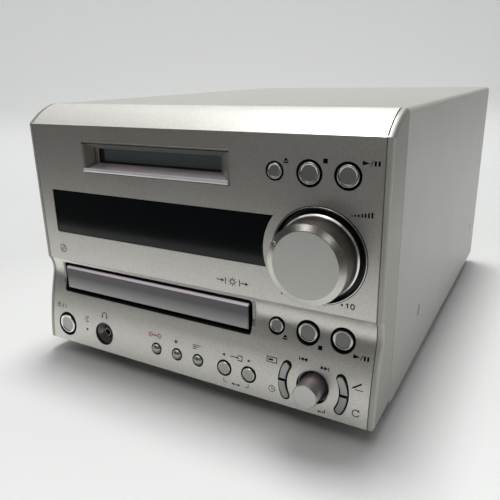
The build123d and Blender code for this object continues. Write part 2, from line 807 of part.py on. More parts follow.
def dome_key(x, z, hole_r):
    """Small key with a domed front."""
    r = hole_r - key_gap * 0.6
    start = guide_end(z) + rest_gap
    rim = face_y(z) - 0.2
    rise = 1.6
    dome_r = (r**2 + rise**2) / (2 * rise)
    cap = rod_y(x, z, (rim - rise, start), r) & (Pos(x, rim - rise + dome_r, z) * Sphere(dome_r))
    cap += rod_y(x, z, (rim, start), r)
    collar = rod_y(x, z, (start, start + key_collar_thick), hole_r + key_collar)
    return cap + key_back(x, z, collar)


def arc_key(side, upper):
    """Curved key, half of the ring beside the jog knob."""
    x, z = arc_key_middle(side, upper)
    front = face_y(z) - key_proud
    start = guide_end(z) + rest_gap
    cap = prism_y(arc_key_shape(side, upper, arc_slot_width - 2 * key_gap), front, start)
    cap = fillet(cap.edges().group_by(Axis.Y)[0], 0.4)
    collar_shape = arc_key_shape(side, upper, arc_slot_width + 2 * key_collar)
    collar = prism_y(collar_shape, start, start + key_collar_thick)
    return cap + key_back(x, z, collar)


def key_places():
    """Place of every key's switch."""
    places = [(x, z) for x, z, r in round_keys.values()]
    places += [(x, z) for x, z, r in dome_keys.values()]
    places += [arc_key_middle(side, upper) for side, upper in arc_keys.values()]
    return places


def key_switches():
    """Push switches on the front boards, one behind each key."""
    half = switch_side / 2
    switches = []
    for x, z in key_places():
        case = block((x - half, x + half), (board_front - switch_high, board_front), (z - half, z + half))
        nub = rod_y(x, z, (switch_nub_front, board_front - switch_high), switch_nub_r)
        switches.append(case + nub)
    return Compound(switches)


def front_boards():
    """Upper and lower boards behind the front, each L shaped to pass the drives."""
    y = (board_front, board_front + board_thick)
    edge = half_panel - board_margin
    right = (board_right_left, edge)
    upper = block((-edge, edge), y, (upper_board_low, upper_board_mid))
    upper += block(right, y, (upper_board_mid, upper_board_top))
    lower = block((-edge, edge), y, (lower_board_low, lower_board_mid))
    lower += block(right, y, (lower_board_mid, lower_board_top))
    half = led_side / 2
    led_front = board_front - led_high
    led_z = (bottom_row_z - half, bottom_row_z + half)
    led = block((led_x - half, led_x + half), (led_front, board_front), led_z)
    start = face_y(bottom_row_z)
    pipe_flange = start + panel_wall + seam_gap
    pipe = rod_y(led_x, bottom_row_z, (start + rest_gap, led_front), led_r)
    pipe += rod_y(led_x, bottom_row_z, (pipe_flange, pipe_flange + 1), led_r + 1)
    return Compound([upper, lower, led, pipe])


def phones_jack():
    """Headphone socket for a 3.5 mm plug, at the bottom of a conical cup."""
    front = face_y(bottom_row_z + phones_hole_r) + 0.3
    cup_r = phones_hole_r - rest_gap
    flange_rear = guide_end_lower + 1.0
    outline = [
        (phones_bore_r, front + 1.6),
        (2.9, front + 1.6),
        (2.9, front + 2.6),
        (cup_r - 0.4, front),
        (cup_r, front),
        (cup_r, guide_end_lower),
        (phones_hole_r + guide_wall, guide_end_lower),
        (phones_hole_r + guide_wall, flange_rear),
        (phones_body_r, flange_rear),
        (phones_body_r, board_front),
        (0, board_front),
        (0, front + 1.6 + phones_bore_deep),
        (phones_bore_r, front + 1.6 + phones_bore_deep),
    ]
    return turned(outline, phones_x, bottom_row_z)


def tray_door():
    """Front of the disc tray, with a wide bevel along its top."""
    rear = door_front + door_thick
    outline = [
        (rear, door_low),
        (door_front + door_edge, door_low),
        (door_front, door_low + door_edge),
        (door_front, door_high - door_bevel),
        (door_front + door_bevel, door_high),
        (rear, door_high),
    ]
    face = Plane.YZ * make_face(Polyline(*outline, close=True))
    door = slab(face, tray_mid_x - door_wide / 2, tray_mid_x + door_wide / 2)
    ends = door.edges().filter_by(Axis.Z).group_by(Axis.Y)[0]
    return chamfer(ends, door_edge)


def rack_teeth():
    """Straight teeth along the rack rail, facing the gear."""
    pitch = math.pi * gear_module
    count = int((tray_rear - rack_front) / pitch)
    slope = math.tan(math.radians(20))
    half = pitch / 4 - gear_backlash
    tip, root = gear_module, 1.25 * gear_module
    first = gear_y - int((gear_y - rack_front) / pitch) * pitch + pitch / 2
    teeth = []
    for i in range(count - 1):
        y = first + i * pitch
        outline = [
            (rack_right - root, y - half - root * slope),
            (rack_right + tip, y - half + tip * slope),
            (rack_right + tip, y + half - tip * slope),
            (rack_right - root, y + half + root * slope),
        ]
        tooth = extrude(make_face(Polyline(*outline, close=True)), amount=tray_low - rack_low)
        teeth.append(Pos(0, 0, rack_low) * tooth)
    return teeth


def cd_tray():
    """Sliding disc tray with two recesses, a slot for the traverse and a rack under its left edge."""
    half = tray_wide / 2
    x = (tray_mid_x - half, tray_mid_x + half)
    front = door_front + door_thick
    plate = block(x, (front, tray_rear), (tray_low, tray_high))
    plate -= rod_up(tray_mid_x, disc_y, (disc_recess_floor, tray_high + 1), disc_recess_r)
    plate -= rod_up(tray_mid_x, disc_y, (small_disc_floor, tray_high + 1), small_disc_r)
    slot_half = tray_slot_wide / 2
    slot = (tray_mid_x - slot_half, tray_mid_x + slot_half)
    plate -= block(slot, (tray_slot_front, tray_slot_rear), (tray_low - 1, tray_high + 1))
    rail = block((rack_left, rack_right - 1.25 * gear_module), (rack_front, tray_rear), (rack_low, tray_low))
    return plate + rail + rack_teeth()


def gear_outline():
    """Toothed disc that meshes with the rack, with a gap facing it at rest."""
    tip, root = gear_r + gear_module, gear_r - 1.25 * gear_module
    step = 2 * math.pi / gear_teeth
    half = step / 4 - gear_backlash / gear_r
    points = []
    for i in range(gear_teeth):
        middle = math.pi + i * step
        flanks = [(root, -1.45 * half), (gear_r, -half), (tip, -0.45 * half)]
        flanks += [(tip, 0.45 * half), (gear_r, half), (root, 1.45 * half)]
        for r, turn in flanks:
            points.append((r * math.cos(middle + turn), r * math.sin(middle + turn)))
    return make_face(Polyline(*points, close=True))


def tray_gear():
    """Gear that moves the tray, on one spindle with its pulley below the deck."""
    top = tray_low - 0.3
    gear = extrude(Pos(0, 0, top - gear_high) * gear_outline(), amount=gear_high)
    spindle = rod_up(0, 0, (pulley_low - 1, top), 2.0)
    collar = rod_up(0, 0, (deck_high + slide_gap, deck_high + 1.2), 3.5)
    pulley = rod_up(0, 0, (pulley_low, pulley_high), drive_pulley_r)
    return Pos(gear_x, gear_y, 0) * (gear + spindle + collar + pulley)


def motor_pulley():
    """Small pulley on the loading motor."""
    pulley = rod_up(motor_x, gear_y, (pulley_low, pulley_high), motor_pulley_r)
    return pulley + rod_up(motor_x, gear_y, (pulley_low - 4, pulley_low), 1.0)


def belt_loop(grow):
    """Outline of the belt round both pulleys, grown from their rims."""
    big = Pos(gear_x, gear_y) * Circle(drive_pulley_r + grow)
    small = Pos(motor_x, gear_y) * Circle(motor_pulley_r + grow)
    return make_hull(big.edges() + small.edges())


def loader_drive():
    """Loading motor with its bracket plate, and the belt."""
    top = pulley_low - 1.0
    motor = rod_up(motor_x, gear_y, (panel_bottom, top), motor_r)
    motor -= rod_up(motor_x, gear_y, (pulley_low - 4.2, top + 1), 1.0 + shaft_fit)
    ring = belt_loop(belt_thick + belt_gap) - belt_loop(belt_gap)
    belt = extrude(Pos(0, 0, pulley_low + 1) * ring, amount=pulley_high - pulley_low - 2)
    return Compound([motor, belt])


def cd_loader():
    """Loader frame: deck, side walls with tray rails, rear wall, posts and slotted ears."""
    left, right = loader_left, loader_right
    y = (loader_front, loader_rear)
    frame = block((left, right), y, (deck_low, deck_high))
    walls = []
    tray_half = tray_wide / 2
    for side in (-1, 1):
        outer = tray_mid_x + side * loader_half_wide
        inner = outer - side * loader_wall
        reach = tray_mid_x + side * (tray_half - rail_wide + 0.5)
        walls.append(block(sorted((inner, outer)), y, (deck_high, loader_wall_top)))
        walls.append(block(sorted((reach, inner)), y, (tray_low - slide_gap - 2.0, tray_low - slide_gap)))
        lip = (tray_high + slide_gap, tray_high + slide_gap + 1.4)
        walls.append(block(sorted((reach, inner)), (loader_front, loader_front + rail_lip_long), lip))
        walls.append(block(sorted((reach, inner)), (loader_rear - rail_lip_long, loader_rear), lip))
    walls.append(block((left, right), (loader_rear - loader_wall, loader_rear), (deck_high, loader_wall_top)))
    for x, y_post in loader_posts:
        walls.append(rod_up(x, y_post, (panel_bottom, deck_low), loader_post_r))
    inner = traverse_wide / 2 + traverse_gap
    well = (tray_mid_x - inner, tray_mid_x + inner)
    cuts = [
        block(well, (traverse_front - 2, traverse_rear + 2), (deck_low - 1, deck_high + 1)),
        rod_up(gear_x, gear_y, (deck_low - 1, deck_high + 1), 2.0 + shaft_fit),
    ]
    slot_half = arm_pin_r + shaft_fit
    slot_z = (arm_pin_z - slot_half, arm_pin_z + lift_height + slot_half)
    for y_arm in arm_y:
        for side in (-1, 1):
            ear = sorted((tray_mid_x + side * inner, tray_mid_x + side * (inner + ear_thick)))
            walls.append(block(ear, (y_arm - 5, y_arm + 5), (arm_pin_z - 4, deck_low)))
        cuts.append(block((well[0] - 4, well[1] + 4), (y_arm - slot_half, y_arm + slot_half), slot_z))
    return frame + walls - cuts


def clamp_strip():
    """Steel strip over the tray that carries the disc clamp."""
    y = (disc_y - clamp_strip_deep / 2, disc_y + clamp_strip_deep / 2)
    top = loader_wall_top + clamp_strip_thick
    strip = block((loader_left, loader_right), y, (loader_wall_top, top))
    return strip - rod_up(tray_mid_x, disc_y, (loader_wall_top - 1, top + 1), clamp_hole_r)


def disc_clamp():
    """Free-turning puck that hangs in the strip by its upper flange."""
    strip_top = loader_wall_top + clamp_strip_thick
    neck_r = clamp_hole_r - 0.3
    outline = [
        (0, strip_top + 2.2),
        (clamp_hole_r + 3.0, strip_top + 2.2),
        (clamp_hole_r + 3.0, strip_top + rest_gap),
        (neck_r, strip_top + rest_gap),
        (neck_r, loader_wall_top - 0.6),
        (clamp_r, loader_wall_top - 0.6),
        (clamp_r, clamp_low),
        (hub_r + 0.5, clamp_low),
        (hub_r + 0.5, clamp_low + clamp_recess),
        (0, clamp_low + clamp_recess),
    ]
    return turned_up(outline, tray_mid_x, disc_y)


def traverse():
    """Lifting plate with the spindle motor below it, walls for the rods, and arms with its pins."""
    half = traverse_wide / 2
    left, right = tray_mid_x - half, tray_mid_x + half
    plate = block((left, right), (traverse_front, traverse_rear), (traverse_low, traverse_high))
    more = [rod_up(tray_mid_x, disc_y, (spindle_motor_low, traverse_low), spindle_motor_r)]
    wall_y = (traverse_wall_front, traverse_rear)
    wall_z = (traverse_high, traverse_wall_top)
    for x in ((left, left + traverse_wall), (right - traverse_wall, right)):
        more.append(block(x, wall_y, wall_z))
        for y_arm in arm_y:
            more.append(block(x, (y_arm - arm_deep / 2, y_arm + arm_deep / 2), (arm_low, traverse_low)))
    for y in (rod_front, rod_rear):
        more.append(block((left, right), (y - 1, y + 1), wall_z))
    for y_arm in arm_y:
        for side in (-1, 1):
            reach = traverse_gap + ear_thick
            pin = sorted((tray_mid_x + side * (half - 1), tray_mid_x + side * (half + reach)))
            more.append(rod_x(y_arm, arm_pin_z, pin, arm_pin_r))
    cuts = [rod_up(tray_mid_x, disc_y, (spindle_motor_low + 2, traverse_high + 1), spindle_r + shaft_fit)]
    for side in (-1, 1):
        x = tray_mid_x + side * rod_offset
        cuts.append(rod_y(x, rod_z, (rod_front - 2, rod_rear + 2), rod_r + press_fit))
    return plate + more - cuts


def turntable():
    """Disc platter with its centring hub and spindle."""
    outline = [
        (0, spindle_motor_low + 2.2),
        (spindle_r, spindle_motor_low + 2.2),
        (spindle_r, turntable_low),
        (turntable_r, turntable_low),
        (turntable_r, turntable_high),
        (hub_r + 0.3, turntable_high),
        (hub_r, hub_top - 1.5),
        (hub_r - 2.0, hub_top),
        (0, hub_top),
    ]
    return turned_up(outline, tray_mid_x, disc_y)


def guide_rods():
    """Two rods that the pickup slides on."""
    y = (rod_front - 1, rod_rear + 1)
    return Compound([rod_y(tray_mid_x + side * rod_offset, rod_z, y, rod_r) for side in (-1, 1)])


def pickup_sled():
    """Pickup body with its lens."""
    half = sled_wide / 2
    y = (sled_front, sled_front + sled_deep)
    body = block((tray_mid_x - half, tray_mid_x + half), y, (sled_low, sled_high))
    body += rod_up(tray_mid_x, sled_front + lens_r + 1, (sled_high, sled_high + lens_high), lens_r)
    for side in (-1, 1):
        x = tray_mid_x + side * rod_offset
        body -= rod_y(x, rod_z, (sled_front - 1, sled_front + sled_deep + 1), rod_r + shaft_fit)
    return body


def drive_bridge():
    """Folded sheet table over the disc loader, with four legs and feet."""
    y = (bridge_front, bridge_rear)
    top_low = bridge_top - bridge_sheet
    table = block((bridge_left, bridge_right), y, (top_low, bridge_top))
    legs = []
    for outer, inward in ((bridge_left, 1), (bridge_right, -1)):
        inner = outer + inward * bridge_sheet
        for start in (bridge_front, bridge_rear - bridge_leg_deep):
            leg_y = (start, start + bridge_leg_deep)
            legs.append(block(sorted((outer, inner)), leg_y, (panel_bottom, top_low)))
            foot = sorted((inner, inner + inward * bridge_foot))
            legs.append(block(foot, leg_y, (panel_bottom, panel_bottom + bridge_sheet)))
    margin = bridge_window_margin
    window_y = (bridge_front + margin, bridge_rear - margin)
    window_x = (bridge_left + 2 * margin, bridge_right - 2 * margin)
    return table + legs - block(window_x, window_y, (top_low - 1, bridge_top + 1))


def md_drive():
    """Cartridge drive tray: floor, slotted side walls, rear wall and the spindle motor."""
    half = drive_wide / 2
    left, right = slot_x - half, slot_x + half
    floor_top = bridge_top + drive_sheet
    y = (drive_front, drive_rear)
    pan = block((left, right), y, (bridge_top, floor_top))
    walls = [
        block((left, left + drive_sheet), y, (floor_top, drive_wall_top)),
        block((right - drive_sheet, right), y, (floor_top, drive_wall_top)),
        block((left, right), (drive_rear - drive_sheet, drive_rear), (floor_top, drive_wall_top)),
    ]
    motor_top = floor_top + cartridge_motor_high
    motor = rod_up(slot_x, cartridge_hub_y, (floor_top, motor_top), cartridge_motor_r)
    cuts = [rod_up(slot_x, cartridge_hub_y, (floor_top + 0.5, motor_top + 1), 1.0 + shaft_fit)]
    slot_half = holder_pin_r + 0.1
    for y_pin in holder_pin_y:
        z = (slot_z - holder_drop - slot_half, slot_z + slot_half)
        cuts.append(block((left - 1, right + 1), (y_pin - slot_half, y_pin + slot_half), z))
    return pan + walls + motor - cuts


def md_holder():
    """Sheet sleeve that takes the cartridge and lowers it on four pins."""
    y = (holder_front, holder_rear)
    box = block((slot_x - holder_half, slot_x + holder_half), y, (holder_low, holder_high))
    inside = (slot_x - cartridge_wide / 2, slot_x + cartridge_wide / 2)
    inside_z = (holder_low + holder_sheet, holder_high - holder_sheet)
    box -= block(inside, (holder_front - 1, holder_rear - holder_sheet), inside_z)
    half = holder_window_wide / 2
    window_y = (cartridge_hub_y - half, holder_rear - half / 2)
    box -= block((slot_x - half, slot_x + half), window_y, (holder_low - 1, holder_low + 2))
    pins = []
    for side in (-1, 1):
        for y_pin in holder_pin_y:
            reach = sorted((slot_x + side * (holder_half - 0.2), slot_x + side * (drive_wide / 2 + 0.3)))
            pins.append(rod_x(y_pin, slot_z, reach, holder_pin_r))
    pins_outside = [pin - block(inside, (0, drive_rear), (holder_low, holder_high)) for pin in pins]
    return box + pins_outside


def md_spindle():
    """Small platter that turns the cartridge's disc."""
    motor_top = bridge_top + drive_sheet + cartridge_motor_high
    outline = [
        (0, bridge_top + drive_sheet + 0.8),
        (1.0, bridge_top + drive_sheet + 0.8),
        (1.0, motor_top + slide_gap),
        (cartridge_platter_r, motor_top + slide_gap),
        (cartridge_platter_r, motor_top + 1.2),
        (3.0, motor_top + 1.2),
        (2.4, motor_top + 2.8),
        (0, motor_top + 2.8),
    ]
    return turned_up(outline, slot_x, cartridge_hub_y)


def transformer():
    """Mains transformer: laminated core on a strap, with its winding."""
    x, y = transformer_x, transformer_y
    core_low = panel_bottom + strap_thick
    half_w, half_d = core_wide / 2, core_deep / 2
    strap_y = (y - half_d - strap_reach, y + half_d + strap_reach)
    strap = block((x - half_w, x + half_w), strap_y, (panel_bottom, core_low))
    core = block((x - half_w, x + half_w), (y - half_d, y + half_d), (core_low, core_low + core_high))
    coil_half_w, coil_half_d = half_w + winding_over, half_d - winding_inset_y
    coil_z = (core_low + winding_inset_z, core_low + core_high - winding_inset_z)
    coil = block((x - coil_half_w, x + coil_half_w), (y - coil_half_d, y + coil_half_d), coil_z)
    coil = fillet(coil.edges().filter_by(Axis.Y), winding_corner_r)
    return strap + core + coil


def main_board():
    """Main circuit board on four standoffs."""
    x = (main_board_left, main_board_right)
    y = (main_board_front, main_board_rear)
    board = block(x, y, (main_board_z, main_board_z + board_thick))
    posts = []
    for px in (x[0] + standoff_inset, x[1] - standoff_inset):
        for py in (y[0] + standoff_inset, y[1] - standoff_inset):
            posts.append(rod_up(px, py, (panel_bottom, main_board_z), standoff_r))
    return board + posts


def board_parts():
    """Filter capacitors, tuner can and chips on the main board."""
    top = main_board_z + board_thick
    parts = []
    x = main_board_right - capacitor_inset_x
    for i in range(2):
        y = main_board_front + capacitor_inset_y + i * capacitor_pitch
        parts.append(rod_up(x, y, (top, top + capacitor_high), capacitor_r))
    can_left = main_board_left + tuner_inset_x
    can_rear = main_board_rear - tuner_inset_y
    can = block((can_left, can_left + tuner_wide), (can_rear - tuner_deep, can_rear), (top, top + tuner_high))
    parts.append(can)
    half = chip_side / 2
    for y in (main_board_front + chip_inset_front, main_board_rear - chip_inset_rear):
        parts.append(block((chip_x - half, chip_x + half), (y - half, y + half), (top, top + chip_high)))
    return Compound(parts)


def heat_sink():
    """Finned aluminium block for the power stage."""
    base = block((sink_left, sink_left + sink_base), (sink_front, sink_rear), (panel_bottom, sink_top))
    pitch = (sink_rear - sink_front - sink_fin) / (sink_fins - 1)
    fins = []
    for i in range(sink_fins):
        y = sink_front + i * pitch
        fins.append(block((sink_left + sink_base, sink_right), (y, y + sink_fin), (panel_bottom, sink_top)))
    return base + fins


def screw_solid():
    """Countersunk screw along Z, its flat head at z = 0 and its shank below."""
    outline = [
        (0, 0),
        (screw_head_r, 0),
        (screw_r, -screw_head_deep),
        (screw_r, -screw_long),
        (0, -screw_long),
    ]
    return turned_up(outline, 0, 0)


def screw_cut():
    """Space for one screw, a little larger all round."""
    outline = [
        (0, 1),
        (screw_head_r + 0.2, 1),
        (screw_head_r + 0.2, 0),
        (screw_r + screw_fit, -screw_head_deep - screw_fit),
        (screw_r + screw_fit, -screw_long - 0.3),
        (0, -screw_long - 0.3),
    ]
    return turned_up(outline, 0, 0)


def screw_places():
    """Every screw's place and direction, by what it holds."""
    places = {"side": [], "panel": [], "rear": [], "lip": [], "foot": []}
    for y in side_screw_y:
        places["side"].append(Pos(half_width - 0.2, y, side_screw_z) * Rot(0, 90, 0))
        places["side"].append(Pos(-half_width + 0.2, y, side_screw_z) * Rot(0, -90, 0))
    for x in panel_screw_x:
        places["panel"].append(Pos(x, panel_screw_y, foot_height + 0.1) * Rot(180, 0, 0))
    for x in rear_screw_x:
        places["rear"].append(Pos(x, rear_face - 0.1, rear_screw_z) * Rot(-90, 0, 0))
    for x in lip_screw_x:
        places["lip"].append(Pos(x, rear_face - 0.1, lip_screw_z) * Rot(-90, 0, 0))
    for x in (-foot_x, foot_x):
        for y in (foot_front_y, foot_rear_y):
            places["foot"].append(Pos(x, y, foot_seat) * Rot(180, 0, 0))
    return places


def case_screws():
    """All the case screws."""
    return Compound([place * screw_solid() for group in screw_places().values() for place in group])


def screw_cuts(*groups):
    """Screw spaces of the named groups."""
    places = screw_places()
    return [place * screw_cut() for group in groups for place in places[group]]


def bottom_chassis():
    """Folded floor with side walls, a rear flange and screw bosses."""
    floor_x = (-cover_inside, cover_inside)
    pan = block(floor_x, (chassis_front, flange_rear), (foot_height, panel_bottom))
    side_y = (chassis_wall_front, flange_rear)
    wall = (panel_bottom, chassis_wall_top)
    more = [
        block((-cover_inside, -cover_inside + chassis_sheet), side_y, wall),
        block((cover_inside - chassis_sheet, cover_inside), side_y, wall),
        block(floor_x, (flange_rear - chassis_sheet, flange_rear), (panel_bottom, chassis_flange_top)),
    ]
    boss_r = screw_r + screw_boss_wall
    for y in side_screw_y:
        for side in (-1, 1):
            x = sorted((side * (cover_inside - chassis_sheet), side * (half_width - screw_long - 0.5)))
            more.append(rod_x(y, side_screw_z, x, boss_r))
    for x in rear_screw_x:
        more.append(rod_y(x, rear_screw_z, (rear_face - screw_long - 0.5, flange_rear), boss_r))
    for x in (-foot_x, foot_x):
        for y in (foot_front_y, foot_rear_y):
            more.append(rod_up(x, y, (panel_bottom, panel_bottom + foot_boss_high), boss_r))
    slots = []
    slot_y = (sink_rear + 4, sink_rear + 4 + floor_slot_long)
    for i in range(floor_slots):
        x = sink_left + 1 + floor_slot_pitch * i
        slots.append(block((x, x + floor_slot_wide), slot_y, (foot_height - 1, panel_bottom + 1)))
    return pan + more - slots - screw_cuts("side", "panel", "rear", "foot")


def top_cover():
    """Folded sheet cover: top, two sides and a lip behind the rear panel's upper edge."""
    front, rear = trim_depth + seam_gap, cover_depth
    width = 2 * half_width
    height = top_height - foot_height
    middle = (top_height + foot_height) / 2
    outer = Pos(0, middle) * Rectangle(width, height)
    outer = fillet(outer.vertices().group_by(Axis.Y)[-1], cover_corner_r)
    inner = Rectangle(width - 2 * cover_sheet, height - cover_sheet + 1)
    inner = Pos(0, middle - cover_sheet / 2 - 0.5) * inner
    inner = fillet(inner.vertices().group_by(Axis.Y)[-1], cover_corner_r - cover_sheet)
    shell = prism_y(outer - inner, front, rear)
    lip_z = (cover_lip_low, top_height - cover_sheet)
    lip = block((-cover_lip_half, cover_lip_half), (rear_inside - cover_sheet, rear_inside), lip_z)
    boss_y = (rear_face - screw_long - 0.5, rear_inside)
    bosses = [rod_y(x, lip_screw_z, boss_y, screw_r + screw_boss_wall) for x in lip_screw_x]
    return shell + lip + bosses - screw_cuts("side", "lip")


def centred_block(x, z, wide, high, y):
    """Box centred on x and z, between two depths."""
    return block((x - wide / 2, x + wide / 2), y, (z - high / 2, z + high / 2))


def socket_holes():
    """Holes in the rear panel for its sockets and air slots."""
    y = (rear_inside - 1, rear_face + 1)
    gap = 2 * rest_gap
    holes = [rod_y(x, z, y, phono_r + rest_gap) for x in phono_columns for z in phono_rows]
    holes += [rod_y(x, post_z, y, post_r - post_neck) for x in post_columns]
    side = optical_side + gap
    holes += [centred_block(x, optical_z, side, side, y) for x in optical_columns]
    holes.append(centred_block(aerial_x, aerial_z, aerial_wide + gap, aerial_high + gap, y))
    holes.append(centred_block(inlet_x, inlet_z, inlet_wide + gap, inlet_high + gap, y))
    for row in range(vent_rows):
        for column in range(vent_columns):
            x = vent_left + vent_pitch_x * column
            z = vent_low + vent_pitch_z * row
            holes.append(block((x, x + vent_wide), y, (z, z + vent_high)))
    return holes


def rear_panel():
    """Flat rear sheet with its holes and air slots."""
    edge = cover_inside - seam_gap
    low, high = panel_bottom + seam_gap, top_height - cover_sheet - seam_gap
    shape = Pos(0, (low + high) / 2) * Rectangle(2 * edge, high - low)
    shape = fillet(shape.vertices().group_by(Axis.Y)[-1], cover_corner_r)
    return prism_y(shape, rear_inside, rear_face) - socket_holes() - screw_cuts("rear", "lip")


def phono_socket(x, z, inside, reach):
    """Phono jack: a ring outside the panel and a square body inside."""
    jack = rod_y(x, z, (rear_inside, reach), phono_r)
    jack += centred_block(x, z, phono_body, phono_body, (inside, rear_inside))
    return jack - rod_y(x, z, (reach - phono_bore_deep, reach + 1), phono_bore_r)


def speaker_post(x, reach):
    """Speaker post, necked where it passes through the panel."""
    post = rod_y(x, post_z, (rear_face, reach), post_r)
    post += rod_y(x, post_z, (rear_inside, rear_face), post_r - post_neck - rest_gap)
    post += rod_y(x, post_z, (rear_inside - post_body_deep, rear_inside), post_r)
    return post - rod_y(x, post_z, (reach - post_bore_deep, reach + 1), post_bore_r)


def optical_port(x, inside):
    """Optical port with its square hole."""
    outer = rear_face + optical_proud
    port = centred_block(x, optical_z, optical_side, optical_side, (rear_inside, outer))
    port += centred_block(x, optical_z, optical_body, optical_body, (inside, rear_inside))
    hole_y = (outer - optical_hole_deep, outer + 1)
    return port - centred_block(x, optical_z, optical_hole, optical_hole, hole_y)


def aerial_terminal(inside):
    """Aerial terminal block with three wire holes."""
    outer = rear_face + aerial_proud
    terminal = centred_block(aerial_x, aerial_z, aerial_wide, aerial_high, (rear_inside, outer))
    wide, high = aerial_wide + 2 * aerial_flange, aerial_high + 2 * aerial_flange
    terminal += centred_block(aerial_x, aerial_z, wide, high, (inside, rear_inside))
    for i in (-1, 0, 1):
        x = aerial_x + i * aerial_pitch
        hole_y = (outer - aerial_hole_deep, outer + 1)
        terminal -= centred_block(x, aerial_z - 1.5, aerial_hole_wide, aerial_hole_high, hole_y)
    return terminal


def rear_sockets():
    """Phono jacks, speaker posts, optical ports and the aerial terminal, as separate solids."""
    reach = rear_face + terminal_reach
    inside = rear_inside - socket_depth
    solids = [phono_socket(x, z, inside, reach) for x in phono_columns for z in phono_rows]
    solids += [speaker_post(x, reach) for x in post_columns]
    solids += [optical_port(x, inside) for x in optical_columns]
    solids.append(aerial_terminal(inside))
    return Compound(solids)


def ac_inlet():
    """Two-pin mains inlet: a housing with a round-ended cavity, and its pins."""
    outer = rear_face + inlet_proud
    housing = centred_block(inlet_x, inlet_z, inlet_wide, inlet_high, (rear_face - inlet_deep, outer))
    wide, high = inlet_wide + 2 * inlet_flange, inlet_high + 2 * inlet_flange
    flange = centred_block(inlet_x, inlet_z, wide, high, (rear_inside - inlet_flange_thick, rear_inside))
    cavity_shape = Pos(inlet_x, inlet_z) * SlotOverall(inlet_cavity_wide, inlet_cavity_high)
    cavity_front = outer - inlet_cavity_deep
    cavity = prism_y(cavity_shape, cavity_front, outer + 1)
    pins = []
    for side in (-1, 1):
        x = inlet_x + side * inlet_pin_gap / 2
        pins.append(rod_y(x, inlet_z, (cavity_front - 1, rear_face - inlet_pin_back), inlet_pin_r))
    return housing + flange - cavity + pins


def feet():
    """Four tapered feet with a recess for the screw head."""
    outline = [
        (screw_head_r + 1.0, 0),
        (foot_r - 1.0, 0),
        (foot_r, foot_height),
        (0, foot_height),
        (0, foot_seat),
        (screw_head_r + 1.0, foot_seat),
    ]
    cuts = screw_cuts("foot")
    pads = []
    for x in (-foot_x, foot_x):
        for y in (foot_front_y, foot_rear_y):
            pads.append(turned_up(outline, x, y) - cuts[len(pads)])
    return Compound(pads)


def all_parts():
    """Every node's name and shape."""
    parts = {
        "front_panel": front_panel(),
        "end_trims": end_trims(),
        "md_bezel": md_bezel(),
        "md_flap": md_flap(),
        "display_window": display_window(),
        "display_tube": display_tube(),
        "volume_ring": volume_ring(),
        "volume_knob": volume_knob(),
        "volume_shaft": volume_shaft(),
        "volume_pot": volume_pot(),
        "jog_knob": jog_knob(),
        "jog_spindle": jog_spindle(),
        "jog_well": jog_well(),
        "jog_encoder": jog_encoder(),
        "key_switches": key_switches(),
        "front_boards": front_boards(),
        "phones_jack": phones_jack(),
        "tray_door": tray_door(),
        "cd_tray": cd_tray(),
        "tray_gear": tray_gear(),
        "motor_pulley": motor_pulley(),
        "loader_drive": loader_drive(),
        "cd_loader": cd_loader(),
        "clamp_strip": clamp_strip(),
        "disc_clamp": disc_clamp(),
        "traverse": traverse(),
        "turntable": turntable(),
        "guide_rods": guide_rods(),
        "pickup_sled": pickup_sled(),
        "drive_bridge": drive_bridge(),
        "md_drive": md_drive(),
        "md_holder": md_holder(),
        "md_spindle": md_spindle(),
        "transformer": transformer(),
        "main_board": main_board(),
        "board_parts": board_parts(),
        "heat_sink": heat_sink(),
        "bottom_chassis": bottom_chassis(),
        "top_cover": top_cover(),
        "rear_panel": rear_panel(),
        "rear_sockets": rear_sockets(),
        "ac_inlet": ac_inlet(),
        "feet": feet(),
        "case_screws": case_screws(),
    }
    for name, (x, z, hole_r) in round_keys.items():
        parts[name] = round_key(x, z, hole_r)
    for name, (x, z, hole_r) in dome_keys.items():
        parts[name] = dome_key(x, z, hole_r)
    for name, (side, upper) in arc_keys.items():
        parts[name] = arc_key(side, upper)
    return parts


os.makedirs("parts", exist_ok=True)
for name, shape in all_parts().items():
    export_step(Pos(0, -mid_depth, 0) * shape, f"parts/{name}.step")
    print(name)
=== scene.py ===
import logging
import math
from collections.abc import Callable
from dataclasses import dataclass, replace
from enum import Enum

import bmesh
import bpy
from mathutils import Matrix, Vector


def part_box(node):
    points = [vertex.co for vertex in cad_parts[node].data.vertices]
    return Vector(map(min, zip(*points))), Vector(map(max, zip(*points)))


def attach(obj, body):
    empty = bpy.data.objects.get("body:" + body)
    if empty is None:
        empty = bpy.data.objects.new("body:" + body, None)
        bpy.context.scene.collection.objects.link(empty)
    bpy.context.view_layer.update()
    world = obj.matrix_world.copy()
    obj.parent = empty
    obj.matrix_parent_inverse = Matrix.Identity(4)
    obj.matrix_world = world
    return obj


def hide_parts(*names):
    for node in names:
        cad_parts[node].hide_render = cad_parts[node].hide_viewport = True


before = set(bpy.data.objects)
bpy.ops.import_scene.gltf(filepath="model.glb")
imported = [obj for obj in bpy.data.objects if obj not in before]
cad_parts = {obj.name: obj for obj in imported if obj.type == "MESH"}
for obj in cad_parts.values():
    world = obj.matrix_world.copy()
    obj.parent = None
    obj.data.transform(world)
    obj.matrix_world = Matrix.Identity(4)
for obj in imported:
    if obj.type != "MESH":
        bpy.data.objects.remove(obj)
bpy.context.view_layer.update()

# Looks of a compact desktop receiver with a cartridge disc slot and a disc tray. Sizes are in mm as seen on
# the front: x to the right from its middle, y to the rear from the flat upper face, z up from the table.

log = logging.getLogger("receiver")

Point = tuple[float, float, float]
Flat = tuple[float, float]
Rgb = tuple[float, float, float]
Profile = list[tuple[float, float, float]]
Socket = bpy.types.NodeSocket
Outputs = dict[str, Socket]
Form = bmesh.types.BMesh
Piece = bpy.types.Object

